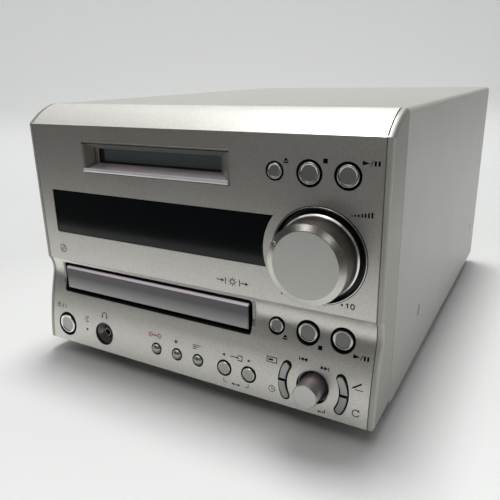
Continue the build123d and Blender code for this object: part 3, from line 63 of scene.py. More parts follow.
MM = 0.001
LIP_Y = -5.6
FACE_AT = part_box("front_panel")[0][1] - LIP_Y * MM
SEAM_XS = (-99.5, 99.5)
HOLES_HALF_WIDE = 98.5
HOLES_LOW, HOLES_HIGH = 10.5, 136.0
FACING_LEAST = 0.3


def at(x: float, y: float, z: float) -> Vector:
    """The place of a point of the front, in metres."""
    return Vector((x * MM, y * MM + FACE_AT, z * MM))


def rgb(red: int, green: int, blue: int) -> Rgb:
    """A colour given as seen on a screen, 0 to 255, turned into light amounts."""

    def light(value: int) -> float:
        share = value / 255
        return share / 12.92 if share <= 0.04045 else ((share + 0.055) / 1.055) ** 2.4

    return light(red), light(green), light(blue)


class Sheet:
    """Adds, sets and links the nodes of one node tree."""

    def __init__(self, tree: bpy.types.NodeTree) -> None:
        self.tree = tree

    def feed(self, socket: Socket, value: object) -> None:
        """Link a value to a socket, or store a plain number there."""
        if isinstance(value, Socket):
            self.tree.links.new(value, socket)
        else:
            socket.default_value = value

    def add(self, kind: str, feeds: dict | None = None, **values: object) -> bpy.types.Node:
        """A new node.

        Args:
            kind: its type.
            feeds: what its inputs get, by name or number.
            values: what its properties are set to.

        Returns:
            The node.
        """
        node = self.tree.nodes.new(kind)
        for name, value in values.items():
            setattr(node, name, value)
        for name, value in (feeds or {}).items():
            self.feed(node.inputs[name], value)
        return node

    def math(self, operation: str, *terms: object, clamp: bool = False) -> Socket:
        """The result of one sum on numbers."""
        node = self.add("ShaderNodeMath", dict(enumerate(terms)), operation=operation, use_clamp=clamp)
        return node.outputs[0]

    def vector(self, operation: str, *terms: object) -> Socket:
        """The result of one sum on vectors, which some operations give as a number."""
        node = self.add("ShaderNodeVectorMath", dict(enumerate(terms)), operation=operation)
        return node.outputs["Value" if operation in ("LENGTH", "DISTANCE", "DOT_PRODUCT") else 0]

    def split(self, value: Socket) -> list[Socket]:
        """The three parts of a vector."""
        return list(self.add("ShaderNodeSeparateXYZ", {0: value}).outputs)

    def mix_colour(self, share: object, first: object, second: object) -> Socket:
        """A colour between two others."""
        first, second = ((*c, 1.0) if isinstance(c, tuple) else c for c in (first, second))
        return self.add("ShaderNodeMix", {"Factor": share, 6: first, 7: second}, data_type="RGBA").outputs[2]

    def mix_value(self, share: object, first: object, second: object) -> Socket:
        """A number between two others."""
        return self.add("ShaderNodeMix", {"Factor": share, 2: first, 3: second}, data_type="FLOAT").outputs[0]

    def place(self) -> Socket:
        """The place of the shaded point on the object at rest."""
        return self.add("ShaderNodeTexCoord").outputs["Object"]

    def from_axis(self, centre: Socket) -> Socket:
        """How far the shaded point is from a line along Y."""
        arm = self.vector("SUBTRACT", self.place(), centre)
        return self.vector("LENGTH", self.vector("MULTIPLY", arm, (1, 0, 1)))

    def noise(self, place: Socket, scale: object, detail: float = 2.0) -> Socket:
        """Soft noise."""
        feeds = {"Vector": place, "Scale": scale, "Detail": detail}
        return self.add("ShaderNodeTexNoise", feeds).outputs["Fac"]

    def cells(self, scale: object, **values: object) -> bpy.types.Node:
        """A pattern of cells."""
        return self.add("ShaderNodeTexVoronoi", {"Vector": self.place(), "Scale": scale}, **values)


@dataclass(frozen=True)
class FrontShape:
    """The side outline of the front, as (y, z) points in mm."""

    lip: Flat = (-5.6, 9.0)
    belly: Flat = (-2.9, 30.0)
    dip: Flat = (1.6, 47.5)
    cove: Flat = (2.25, 51.5)
    ledge: Flat = (0.4, 59.2)

    def curves(self) -> list[tuple]:
        """The curved stretches, upper first: three points, which side bulges, and the height of the top."""
        upper = ((self.dip, self.cove, self.ledge), 1.0, self.ledge[1])
        lower = ((self.lip, self.belly, self.dip), -1.0, self.dip[1])
        return [upper, lower]

    @staticmethod
    def circle(a: Flat, b: Flat, c: Flat) -> Point:
        """Centre and radius of the circle through three points."""
        d = 2 * (a[0] * (b[1] - c[1]) + b[0] * (c[1] - a[1]) + c[0] * (a[1] - b[1]))
        squares = [p[0] ** 2 + p[1] ** 2 for p in (a, b, c)]
        y = (squares[0] * (b[1] - c[1]) + squares[1] * (c[1] - a[1]) + squares[2] * (a[1] - b[1])) / d
        z = (squares[0] * (c[0] - b[0]) + squares[1] * (a[0] - c[0]) + squares[2] * (b[0] - a[0])) / d
        return y, z, math.dist((y, z), a)

    def depth(self, z: float) -> float:
        """How far back the front lies at a height."""
        if z >= self.ledge[1]:
            return 0.0
        corners, side, _ = self.curves()[0 if z >= self.dip[1] else 1]
        y, middle, radius = self.circle(*corners)
        return y + side * math.sqrt(radius**2 - (z - middle) ** 2)


FRONT = FrontShape()


class Texture(Enum):
    """The fine textures that finishes choose from, by the name of what draws them."""

    FLAKE = "metal_flake"
    GRAIN = "moulded_grain"
    TURNED = "turned_rings"
    BRUSHED = "brushed_lines"
    SPANGLE = "zinc_spangle"
    LAYERS = "stacked_sheets"
    TRACES = "board_traces"


class Effects:
    """The shared effects, each drawn once as a node group.

    The textures take the inputs Size and Centre and give the outputs Tone and Height, both 0 to 1.
    """

    def __init__(self) -> None:
        self.groups: dict[str, bpy.types.NodeTree] = {}

    def use(self, sheet: Sheet, effect: str, **given: object) -> bpy.types.Node:
        """Add a node that uses one effect.

        Args:
            sheet: where the node goes.
            effect: the name of the method that draws the effect from its inputs.
            given: the inputs' values, by name and in order.

        Returns:
            The node.
        """
        if effect not in self.groups:
            self.groups[effect] = tree = bpy.data.node_groups.new(effect, "ShaderNodeTree")
            for label, value in given.items():
                kind = "NodeSocketFloat" if isinstance(value, float) else "NodeSocketVector"
                tree.interface.new_socket(label, in_out="INPUT", socket_type=kind)
            inner = Sheet(tree)
            start = inner.add("NodeGroupInput")
            results = getattr(self, effect)(inner, *(start.outputs[label] for label in given))
            for label, socket in results.items():
                kind = "NodeSocketVector" if socket.type == "VECTOR" else "NodeSocketFloat"
                tree.interface.new_socket(label, in_out="OUTPUT", socket_type=kind)
            inner.add("NodeGroupOutput", results)
        return sheet.add("ShaderNodeGroup", given, node_tree=self.groups[effect])

    @staticmethod
    def metal_flake(sheet: Sheet, size: Socket, centre: Socket) -> Outputs:
        """Small flat flakes that each catch the light at their own angle."""
        scale = sheet.math("DIVIDE", 1.0, size)
        parts = sheet.add("ShaderNodeSeparateColor", {0: sheet.cells(scale).outputs["Color"]}).outputs
        haze = sheet.noise(sheet.place(), sheet.math("MULTIPLY", scale, 0.4))
        tone = sheet.math("ADD", sheet.math("MULTIPLY", parts[0], 0.6), sheet.math("MULTIPLY", haze, 0.4))
        return {"Tone": tone, "Height": sheet.math("MULTIPLY", sheet.math("ADD", parts[1], haze), 0.5)}

    @staticmethod
    def moulded_grain(sheet: Sheet, size: Socket, centre: Socket) -> Outputs:
        """The even fine grain of a moulded or painted face."""
        tone = sheet.noise(sheet.place(), sheet.math("DIVIDE", 1.0, size), 4.0)
        return {"Tone": tone, "Height": tone}

    @staticmethod
    def turned_rings(sheet: Sheet, size: Socket, centre: Socket) -> Outputs:
        """Rings left by turning, round the line along Y through the centre."""
        along = sheet.math("MULTIPLY", sheet.from_axis(centre), sheet.math("DIVIDE", 1.0, size))
        feeds = {"W": along, "Scale": 1.0, "Detail": 3.0}
        tone = sheet.add("ShaderNodeTexNoise", feeds, noise_dimensions="1D").outputs["Fac"]
        return {"Tone": tone, "Height": tone}

    @staticmethod
    def brushed_lines(sheet: Sheet, size: Socket, centre: Socket) -> Outputs:
        """Fine lines brushed from side to side."""
        stretched = sheet.vector("MULTIPLY", sheet.place(), (0.02, 1, 1))
        tone = sheet.noise(stretched, sheet.math("DIVIDE", 1.0, size), 3.0)
        return {"Tone": tone, "Height": tone}

    @staticmethod
    def zinc_spangle(sheet: Sheet, size: Socket, centre: Socket) -> Outputs:
        """The crystal pattern of zinc on sheet steel."""
        cells = sheet.cells(sheet.math("DIVIDE", 1.0, size)).outputs
        parts = sheet.add("ShaderNodeSeparateColor", {0: cells["Color"]}).outputs
        return {"Tone": parts[0], "Height": cells["Distance"]}

    @staticmethod
    def stacked_sheets(sheet: Sheet, size: Socket, centre: Socket) -> Outputs:
        """The edges of stacked sheets or turns of wire, one above the other."""
        up = sheet.math("MULTIPLY", sheet.split(sheet.place())[2], sheet.math("DIVIDE", 1.0, size))
        wave = sheet.math("MULTIPLY_ADD", sheet.math("SINE", sheet.math("MULTIPLY", up, math.tau)), 0.5, 0.5)
        return {"Tone": wave, "Height": wave}

    @staticmethod
    def board_traces(sheet: Sheet, size: Socket, centre: Socket) -> Outputs:
        """Copper tracks under the lacquer of a circuit board."""
        cells = sheet.cells(sheet.math("DIVIDE", 1.0, size), distance="MANHATTAN", feature="F1")
        sheet.feed(cells.inputs["Randomness"], 0.8)
        bands = sheet.math("FRACT", sheet.math("MULTIPLY", cells.outputs["Distance"], 4.0))
        track = sheet.math("GREATER_THAN", bands, 0.55)
        return {"Tone": track, "Height": track}

    @staticmethod
    def smudge(sheet: Sheet, size: Socket) -> Outputs:
        """Broad uneven patches of handling and age, as a value round 0."""
        patches = sheet.noise(sheet.place(), sheet.math("DIVIDE", 1.0, size), 3.0)
        return {"Change": sheet.math("SUBTRACT", patches, 0.5)}

    @staticmethod
    def box_zone(sheet: Sheet, low: Socket, high: Socket, soft: Socket) -> Outputs:
        """Mask of the space between two corners."""
        place = sheet.place()
        above, below = sheet.vector("SUBTRACT", place, low), sheet.vector("SUBTRACT", high, place)
        x, y, z = sheet.split(sheet.vector("MINIMUM", above, below))
        inside = sheet.math("MINIMUM", sheet.math("MINIMUM", x, y), z)
        return {"Mask": sheet.math("DIVIDE", inside, soft, clamp=True)}

    @staticmethod
    def round_zone(sheet: Sheet, centre: Socket, inner: Socket, outer: Socket, soft: Socket) -> Outputs:
        """Mask of the space between two radii round a line along Y."""
        radius = sheet.from_axis(centre)
        past, short = sheet.math("SUBTRACT", radius, inner), sheet.math("SUBTRACT", outer, radius)
        return {"Mask": sheet.math("DIVIDE", sheet.math("MINIMUM", past, short), soft, clamp=True)}

    @staticmethod
    def turned_direction(sheet: Sheet, centre: Socket) -> Outputs:
        """The direction in which a lathe went round the line along Y through the centre."""
        round_it = sheet.vector("CROSS_PRODUCT", sheet.vector("SUBTRACT", sheet.place(), centre), (0, 1, 0))
        ways = {"vector_type": "VECTOR", "convert_from": "OBJECT", "convert_to": "WORLD"}
        turned = sheet.add("ShaderNodeVectorTransform", {0: round_it}, **ways).outputs[0]
        return {"Direction": sheet.vector("NORMALIZE", turned)}

    @staticmethod
    def hole_walls(sheet: Sheet, deep: Socket, soft: Socket) -> Outputs:
        """Mask of what lies deeper than the front's curved face, in mm, away from its ends."""
        mm = sheet.vector("SUBTRACT", sheet.place(), (0, FACE_AT, 0))
        x, y, z = sheet.split(sheet.vector("MULTIPLY", mm, (1 / MM, 1 / MM, 1 / MM)))
        face: object = 0.0
        for corners, side, top in FRONT.curves():
            middle_y, middle_z, radius = FRONT.circle(*corners)
            rise = sheet.math("POWER", sheet.math("ABSOLUTE", sheet.math("SUBTRACT", z, middle_z)), 2.0)
            reach = sheet.math("SQRT", sheet.math("MAXIMUM", sheet.math("SUBTRACT", radius**2, rise), 0.0))
            curve = sheet.math("ADD", middle_y, sheet.math("MULTIPLY", reach, side))
            face = sheet.mix_value(sheet.math("LESS_THAN", z, top), face, curve)
        past = sheet.math("SUBTRACT", sheet.math("SUBTRACT", y, face), deep)
        mask = sheet.math("DIVIDE", past, soft, clamp=True)
        for test, value, limit in (
            ("LESS_THAN", sheet.math("ABSOLUTE", x), HOLES_HALF_WIDE),
            ("GREATER_THAN", z, HOLES_LOW),
            ("LESS_THAN", z, HOLES_HIGH),
        ):
            mask = sheet.math("MULTIPLY", mask, sheet.math(test, value, limit))
        return {"Mask": mask}


EFFECTS = Effects()
MADE: dict[str, bpy.types.Material] = {}


@dataclass(frozen=True)
class BoxZone:
    """A box of a piece, in mm, that has a tone of its own, or only its faces that are turned one way."""

    low: Point
    high: Point
    tone: Rgb
    roughness: float
    metallic: float
    soft: float = 0.1
    facing: Point | None = None

    def mask(self, sheet: Sheet) -> Socket:
        """1 inside the box."""
        given = {"Low": at(*self.low), "High": at(*self.high), "Soft": self.soft * MM}
        mask = EFFECTS.use(sheet, "box_zone", **given).outputs["Mask"]
        if self.facing is None:
            return mask
        normal = sheet.add("ShaderNodeNewGeometry").outputs["True Normal"]
        turned = sheet.math("GREATER_THAN", sheet.vector("DOT_PRODUCT", normal, self.facing), FACING_LEAST)
        return sheet.math("MULTIPLY", mask, turned)


@dataclass(frozen=True)
class RoundZone:
    """A ring or disc of a piece, in mm, that has a tone of its own."""

    x: float
    z: float
    inner: float
    outer: float
    tone: Rgb
    roughness: float
    metallic: float
    soft: float = 0.1

    def mask(self, sheet: Sheet) -> Socket:
        """1 between the two radii."""
        given = {"Inner": self.inner * MM, "Outer": self.outer * MM, "Soft": self.soft * MM}
        return EFFECTS.use(sheet, "round_zone", Centre=at(self.x, 0, self.z), **given).outputs["Mask"]


@dataclass(frozen=True)
class HoleZone:
    """The walls of the front's holes, from a little behind its face."""

    deep: float
    tone: Rgb
    roughness: float
    metallic: float
    soft: float = 0.2

    def mask(self, sheet: Sheet) -> Socket:
        """1 on the walls of the holes."""
        return EFFECTS.use(sheet, "hole_walls", Deep=self.deep, Soft=self.soft).outputs["Mask"]


@dataclass(frozen=True)
class Finish:
    """One surface finish: a tone, its fine texture, and zones with other tones. Sizes are in mm."""

    name: str
    tone: Rgb
    roughness: float
    metallic: float = 0.0
    texture: Texture = Texture.GRAIN
    size: float = 0.3
    depth: float = 0.005
    contrast: float = 0.08
    smudge: float = 0.06
    smudge_size: float = 25.0
    coat: float = 0.0
    coat_roughness: float = 0.1
    anisotropy: float = 0.0
    specular: float = 0.5
    centre: Flat = (0.0, 0.0)
    zones: tuple = ()
    second: Rgb | None = None

    def build(self) -> bpy.types.Material:
        """The finish as a material, made at its first use."""
        if self.name in MADE:
            return MADE[self.name]
        MADE[self.name] = material = bpy.data.materials.new(self.name)
        material.use_nodes = True
        sheet = Sheet(material.node_tree)
        centre = at(self.centre[0], 0, self.centre[1])
        fine = EFFECTS.use(sheet, self.texture.value, Size=self.size * MM, Centre=centre).outputs
        change = EFFECTS.use(sheet, "smudge", Size=self.smudge_size * MM).outputs["Change"]
        low, high = self.tone, self.second
        if high is None:
            low = tuple(value * (1 - self.contrast) for value in self.tone)
            high = tuple(min(1.0, value * (1 + self.contrast)) for value in self.tone)
        colour = sheet.mix_colour(fine["Tone"], low, high)
        roughness = sheet.math("MULTIPLY_ADD", change, self.smudge * 2, self.roughness)
        metallic: object = self.metallic
        for zone in self.zones:
            mask = zone.mask(sheet)
            colour = sheet.mix_colour(mask, colour, zone.tone)
            roughness = sheet.mix_value(mask, roughness, zone.roughness)
            metallic = sheet.mix_value(mask, metallic, zone.metallic)
        feeds = {
            "Base Color": colour,
            "Roughness": roughness,
            "Metallic": metallic,
            "Specular IOR Level": self.specular,
            "Coat Weight": self.coat,
            "Coat Roughness": self.coat_roughness,
        }
        if self.anisotropy:
            turned = EFFECTS.use(sheet, "turned_direction", Centre=centre).outputs["Direction"]
            feeds |= {"Anisotropic": self.anisotropy, "Tangent": turned}
        if self.depth:
            given = {"Strength": 1.0, "Distance": self.depth * MM, "Height": fine["Height"]}
            feeds["Normal"] = sheet.add("ShaderNodeBump", given).outputs[0]
        shader = sheet.tree.nodes["Principled BSDF"]
        for name, value in feeds.items():
            sheet.feed(shader.inputs[name], value)
        return material


def dress(finish: Finish, *nodes: str) -> None:
    """Give carried-over pieces their finish."""
    for node in nodes:
        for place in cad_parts[node].material_slots:
            place.material = finish.build()
        log.info("dressed %s in %s", node, finish.name)


def softened(points: Profile, steps: int = 5) -> list[Flat]:
    """Round the corners of an outline.

    Args:
        points: its corners as (a, b, radius of the round).
        steps: how many runs each round gets.

    Returns:
        The outline as (a, b) points.
    """
    line: list[Flat] = []
    for i, (a, b, radius) in enumerate(points):
        here = Vector((a, b))
        if radius <= 0 or i in (0, len(points) - 1):
            line.append((a, b))
            continue
        before = (Vector(points[i - 1][:2]) - here).normalized()
        after = (Vector(points[i + 1][:2]) - here).normalized()
        turn = before.angle(after)
        reach = radius / math.tan(turn / 2)
        middle = here + (before + after).normalized() * (radius / math.sin(turn / 2))
        start = here + before * reach - middle
        end = here + after * reach - middle
        for step in range(steps + 1):
            arm = start.slerp(end, step / steps).normalized() * radius
            line.append(tuple(middle + arm))
    return line


@dataclass(frozen=True)
class Band:
    """Part of a turned piece's outline, as (radius, y, round) corners in mm, and its finish."""

    points: Profile
    finish: Finish


def finish_mesh(
    name: str, form: Form, finishes: list[Finish], sharp: float = 32.0, closed: bool = True
) -> Piece:
    """Turn built faces into a smooth-shaded object with its finishes.

    Args:
        name: the piece's name.
        form: its faces.
        finishes: one finish for each material number of the faces.
        sharp: edges that turn more than this many degrees stay sharp.
        closed: whether the faces close round a solid, so that they are turned to face outwards.

    Returns:
        The object.
    """
    if closed:
        bmesh.ops.remove_doubles(form, verts=form.verts, dist=0.0005 * MM)
        bmesh.ops.recalc_face_normals(form, faces=form.faces)
    mesh = bpy.data.meshes.new(name)
    form.to_mesh(mesh)
    form.free()
    for finish in finishes:
        mesh.materials.append(finish.build())
    mesh.shade_smooth()
    mesh.set_sharp_from_angle(angle=math.radians(sharp))
    return link(bpy.data.objects.new(name, mesh))


def link(piece: Piece) -> Piece:
    """Put a new object in the scene."""
    bpy.context.scene.collection.objects.link(piece)
    return piece


def ring(form: Form, radius: float, steps: int, spot: Callable[[float, float], object]) -> list:
    """A row of points round a circle, or its one middle point where the radius is 0."""
    turns = [math.tau * step / steps for step in range(steps if radius > 0 else 1)]
    return [form.verts.new(spot(radius * math.cos(t), radius * math.sin(t))) for t in turns]


def join_rings(form: Form, rows: list[list], index: int = 0, inwards: bool = False) -> None:
    """Put faces between rings.

    Args:
        form: what the faces are added to.
        rows: the rings in order.
        index: the faces' material number.
        inwards: whether the faces are turned the other way.
    """
    for first, second in zip(rows, rows[1:]):
        steps = max(len(first), len(second))
        for step in range(steps):
            ahead = (step + 1) % steps
            corners = [first[step % len(first)], first[ahead % len(first)]]
            corners += [second[ahead % len(second)], second[step % len(second)]]
            corners = list(dict.fromkeys(corners))
            if len(corners) > 2:
                form.faces.new(corners[::-1] if inwards else corners).material_index = index


def lathe(name: str, bands: list[Band], x: float, z: float, steps: int = 128) -> Piece:
    """A piece turned about a line along Y.

    Args:
        name: the piece's name.
        bands: its outline, in order, each band starting where the last ended.
        x: where the line is, in mm.
        z: where the line is, in mm.
        steps: how many steps go round.

    Returns:
        The piece.
    """
    form = bmesh.new()
    for index, band in enumerate(bands):
        line = softened(band.points)
        rows = [ring(form, radius, steps, lambda a, b: at(x + a, y, z + b)) for radius, y in line]
        join_rings(form, rows, index)
    return finish_mesh(name, form, [band.finish for band in bands])


WARM_SILVER = rgb(205, 203, 197)
BRIGHT_SILVER = rgb(214, 212, 208)
PALE_METAL = rgb(172, 171, 167)
# Painted highlight: a pale lilac tone on faces turned up to the light, the cartridge funnel's lower slope and
# the tray door's top bevel.
PAINTED_LILAC_HIGHLIGHT = rgb(214, 203, 212)

FINE_METAL = (Texture.GRAIN, 0.4, 0.001, 0.03, 0.02)
SATIN = (Texture.FLAKE, 0.3, 0.002, 0.06)
MOULDED = (Texture.GRAIN, 0.25, 0.006, 0.15)


def strips(xs: Flat, half: float, low: Flat, high: Flat, *look: object) -> tuple[BoxZone, ...]:
    """One upright strip at two places.

    Args:
        xs: where their middles are.
        half: half of their width.
        low: y and z of their lower front edge.
        high: y and z of their upper rear edge.
        look: their tone and what follows it in a zone.

    Returns:
        The two zones.
    """
    return tuple(BoxZone((x - half, *low), (x + half, *high), *look) for x in xs)


# Painted shade: the walls of the front's holes are near-black from just behind its face, as the shade inside
# the holes.
HOLE_SHADE = HoleZone(0.1, rgb(9, 9, 9), 0.8, 0.0, 0.1)
STEP_LINE = BoxZone((-99.5, -1.0, 58.95), (99.5, 0.9, 59.35), rgb(104, 102, 98), 0.5, 0.6, 0.08)
# Painted shadow: a dark band on the front just under the cartridge slot's bright lip.
LIP_PAINTED_SHADOW = BoxZone((-63.4, -0.5, 112.6), (28.2, 0.5, 113.5), rgb(44, 42, 40), 0.6, 0.3, 0.15)
SEAMS = (
    *strips(SEAM_XS, 0.3, (-9.0, 0.0), (20.0, 137.4), rgb(92, 91, 88), 0.6, 0.3, 0.15),
    *strips(SEAM_XS, 0.36, (-9.0, 137.8), (20.0, 150.0), rgb(40, 40, 39), 0.95, 0.0, 0.06),
)
# Painted shade: the strips at both ends of the tray opening are darkened, so that they don't show the light
# they catch.
END_SHADE_LOOK = (rgb(148, 146, 141), 0.4, 0.7, 0.12, (0, -1, 0))
OPENING_END_SHADE = strips((-90.75, 38.75), 0.9, (-1.0, 44.0), (4.0, 57.4), *END_SHADE_LOOK)
FRONT_ZONES = (STEP_LINE, LIP_PAINTED_SHADOW, *OPENING_END_SHADE, *SEAMS, HOLE_SHADE)
FLAKES = (Texture.FLAKE, 0.26, 0.006, 0.22, 0.03)
FRONT_PAINT = Finish("front_paint", WARM_SILVER, 0.36, 0.85, *FLAKES, zones=FRONT_ZONES)
COVER_GRAIN = (Texture.GRAIN, 0.5, 0.004, 0.05, 0.04)
COVER_PAINT = Finish("cover_paint", rgb(156, 155, 150), 0.45, 0.22, *COVER_GRAIN, specular=0.35)
BLACK_PLASTIC = Finish("black_plastic", rgb(22, 22, 23), 0.42, 0.0, *MOULDED)
GREY_PLASTIC = Finish("grey_plastic", rgb(60, 60, 62), 0.5, 0.0, Texture.GRAIN, 0.3, 0.008, 0.1)
WHITE_PLASTIC = Finish("white_plastic", rgb(222, 218, 208), 0.45, 0.0, Texture.GRAIN, 0.3, 0.006, 0.04)
SHEET_STEEL = Finish("sheet_steel", rgb(178, 178, 174), 0.32, 1.0, Texture.SPANGLE, 5.0, 0.001, 0.1, 0.05)
BRIGHT_STEEL = Finish("bright_steel", rgb(200, 200, 198), 0.18, 1.0, Texture.BRUSHED, 0.2, 0.002, 0.06)
RUBBER = Finish("rubber", rgb(26, 26, 26), 0.75, 0.0, Texture.GRAIN, 0.4, 0.02, 0.2)
TRACK_TONE = rgb(44, 110, 56)
TRACKS = (Texture.TRACES, 6.0, 0.02)
GREEN_BOARD = Finish("green_board", rgb(18, 74, 38), 0.35, 0.0, *TRACKS, second=TRACK_TONE, coat=0.4)
KEY_RIM = Finish("key_rim", rgb(184, 183, 178), 0.26, 0.95, *FINE_METAL)
KEY_EDGE = Finish("key_edge", BRIGHT_SILVER, 0.22, 1.0, *FINE_METAL)
KEY_FACE = Finish("key_face", rgb(150, 149, 146), 0.4, 0.75, *SATIN)
# Painted shade: the key caps' sides, seen in the gap round each cap, are near-black.
KEY_SIDE_SHADE = Finish("key_side_shade", rgb(18, 18, 18), 0.6, 0.0, Texture.GRAIN, 0.3, 0.002, 0.08)
INPUT_FACE = Finish("input_face", PALE_METAL, 0.36, 0.7, *SATIN)
DOME_METAL = Finish("dome_metal", PALE_METAL, 0.32, 0.9, *FINE_METAL)
LIP_METAL = Finish("lip_metal", rgb(236, 233, 236), 0.34, 0.25, *FINE_METAL)
CHROME = Finish("chrome", rgb(225, 226, 228), 0.06, 1.0, Texture.GRAIN, 0.5, 0.0005, 0.02, 0.01)
# Painted shade: a darker copy of the key face for the lower row of transport keys.
SHADED_KEY_FACE = replace(KEY_FACE, name="shaded_key_face", tone=rgb(112, 111, 108))
PALE_FACE = Finish("pale_face", rgb(166, 164, 160), 0.3, 0.6, Texture.FLAKE, 0.3, 0.002, 0.05)
INK = Finish("dark_ink", rgb(9, 9, 11), 0.8, 0.0, Texture.GRAIN, 0.15, 0.001, 0.25, specular=0.05)
RED_INK = Finish("red_ink", rgb(178, 42, 48), 0.55, 0.0, Texture.GRAIN, 0.15, 0.001, 0.2)


@dataclass
class FrontPanel:
    """The moulded front and the plates at its ends."""

    side_look: tuple = (rgb(151, 150, 144), 0.55, 0.15, 0.3)
    # Painted shade on the upper part of each plate's side, and painted light on each plate's front-facing
    # edge.
    upper_shade_look: tuple = (rgb(127, 126, 121), 0.55, 0.15, 34.0)
    edge_light_look: tuple = (rgb(184, 182, 176), 0.5, 0.3, 0.2, (0, -1, 0))

    def dress(self) -> None:
        """Finish the front and its end plates: each plate's side in its own tone, darker towards the top as
        painted shade, and its front edge lighter as painted light.
        """
        dress(FRONT_PAINT, "front_panel")
        zones = []
        for way in (-1, 1):
            for near, far, low, high, look in (
                (100.5, 110.0, (-20.0, -9.0), (40.0, 160.0), self.side_look),
                (60.0, 160.0, (-60.0, 96.0), (80.0, 240.0), (*self.upper_shade_look, (way, 0, 0))),
                (99.7, 110.0, (-20.0, -9.0), (40.0, 137.2), self.edge_light_look),
            ):
                left, right = sorted((way * near, way * far))
                zones.append(BoxZone((left, *low), (right, *high), *look))
        fine = (Texture.FLAKE, 0.35, 0.003, 0.08, 0.03)
        trim = Finish("trim_paint", rgb(146, 145, 140), 0.38, 0.5, *fine, zones=(*zones, *SEAMS))
        dress(trim, "end_trims")


@dataclass
class CartridgeSlot:
    """The funnel round the cartridge slot, and its dust flap."""

    x: float = -17.6
    z: float = 121.4
    wide: float = 76.7
    high: float = 7.4
    throat_y: float = 4.8
    rim_half_wide: float = 45.3
    rim_half_high: float = 7.55
    lip_r: float = 1.1
    lip_proud: float = 0.95
    lip_up: float = 0.25
    lip_steps: int = 24

    def lip(self) -> None:
        """The bright rounded lip along the foot of the funnel's mouth."""
        left, right = self.x - self.rim_half_wide, self.x + self.rim_half_wide
        low, y = self.z - self.rim_half_high + self.lip_up, self.lip_r - self.lip_proud
        shares = [math.sin(math.pi / 2 * step / 4) for step in range(5)]
        stations = [(left + self.lip_r * (1 - share), share) for share in shares]
        stations += [(right - self.lip_r * (1 - share), share) for share in reversed(shares)]
        form = bmesh.new()
        rows = []
        for x, share in stations:
            rows.append(ring(form, self.lip_r * share, self.lip_steps, lambda a, b: at(x, y + a, low + b)))
        join_rings(form, rows)
        piece = finish_mesh("slot_lip", form, [LIP_METAL])
        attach(piece, "case")

    def dress(self) -> None:
        """Finish the funnel, dark from its throat inwards, with painted shade on its left wall and under its
        top rim and a painted highlight on its lower slope, and the flap, near-black at its left end and along
        its foot as painted shade.
        """
        self.lip()
        left, low = self.x - self.wide / 2, self.z - self.high / 2
        top, deep = self.z + self.rim_half_high, self.throat_y
        # Painted shade on the funnel's left wall and in a band under its top rim.
        wall_shade, groove_shade, black = rgb(118, 116, 108), rgb(40, 38, 35), rgb(12, 12, 13)
        zones = (
            BoxZone((left - 9, -0.1, low - 9), (left + 0.3, deep, low + 20), wall_shade, 0.4, 0.6, 0.3, (1, 0, 0)),
            BoxZone((-100, -0.15, low - 9), (100, deep, low + 0.5), PAINTED_LILAC_HIGHLIGHT, 0.3, 0.8, 0.3, (0, 0, 1)),
            BoxZone((-100, -0.6, top - 1.15), (100, 0.9, top - 0.3), groove_shade, 0.5, 0.3, 0.15),
            BoxZone((-100, deep, 0), (100, 60, 200), rgb(20, 20, 21), 0.5, 0.0, 0.2),
        )
        fine = (Texture.FLAKE, 0.3, 0.003, 0.12)
        dress(Finish("funnel_paint", rgb(178, 175, 168), 0.32, 0.85, *fine, zones=zones), "md_bezel")
        # Painted shade: the flap is near-black at its left end and along its foot, as the shade of the gap
        # round it.
        left_gap_shade = BoxZone((left - 5, 0, 0), (left + 3.6, 60, 200), black, 0.4, 0.0, 0.8)
        below = BoxZone((-100, 0, 0), (100, 60, low + 1.2), black, 0.4, 0.0, 0.6)
        fine = (Texture.GRAIN, 0.3, 0.003, 0.1)
        dress(Finish("flap_plastic", rgb(90, 101, 105), 0.3, 0.0, *fine, zones=(left_gap_shade, below)), "md_flap")


@dataclass
class Display:
    """The dark window and the display tube behind it."""

    def dress(self) -> None:
        """Finish the window and the tube."""
        fine = (Texture.GRAIN, 14.0, 0.0005, 0.5, 0.01)
        dress(Finish("smoked_window", rgb(12, 15, 18), 0.09, 0.0, *fine, specular=0.3), "display_window")
        holder = BoxZone((-200, 11.4, 0), (200, 30, 200), rgb(215, 212, 204), 0.5, 0.0)
        fine = (Texture.LAYERS, 4.0, 0.002, 0.3)
        dress(Finish("tube_glass", rgb(28, 40, 40), 0.08, 0.0, *fine, zones=(holder,)), "display_tube")


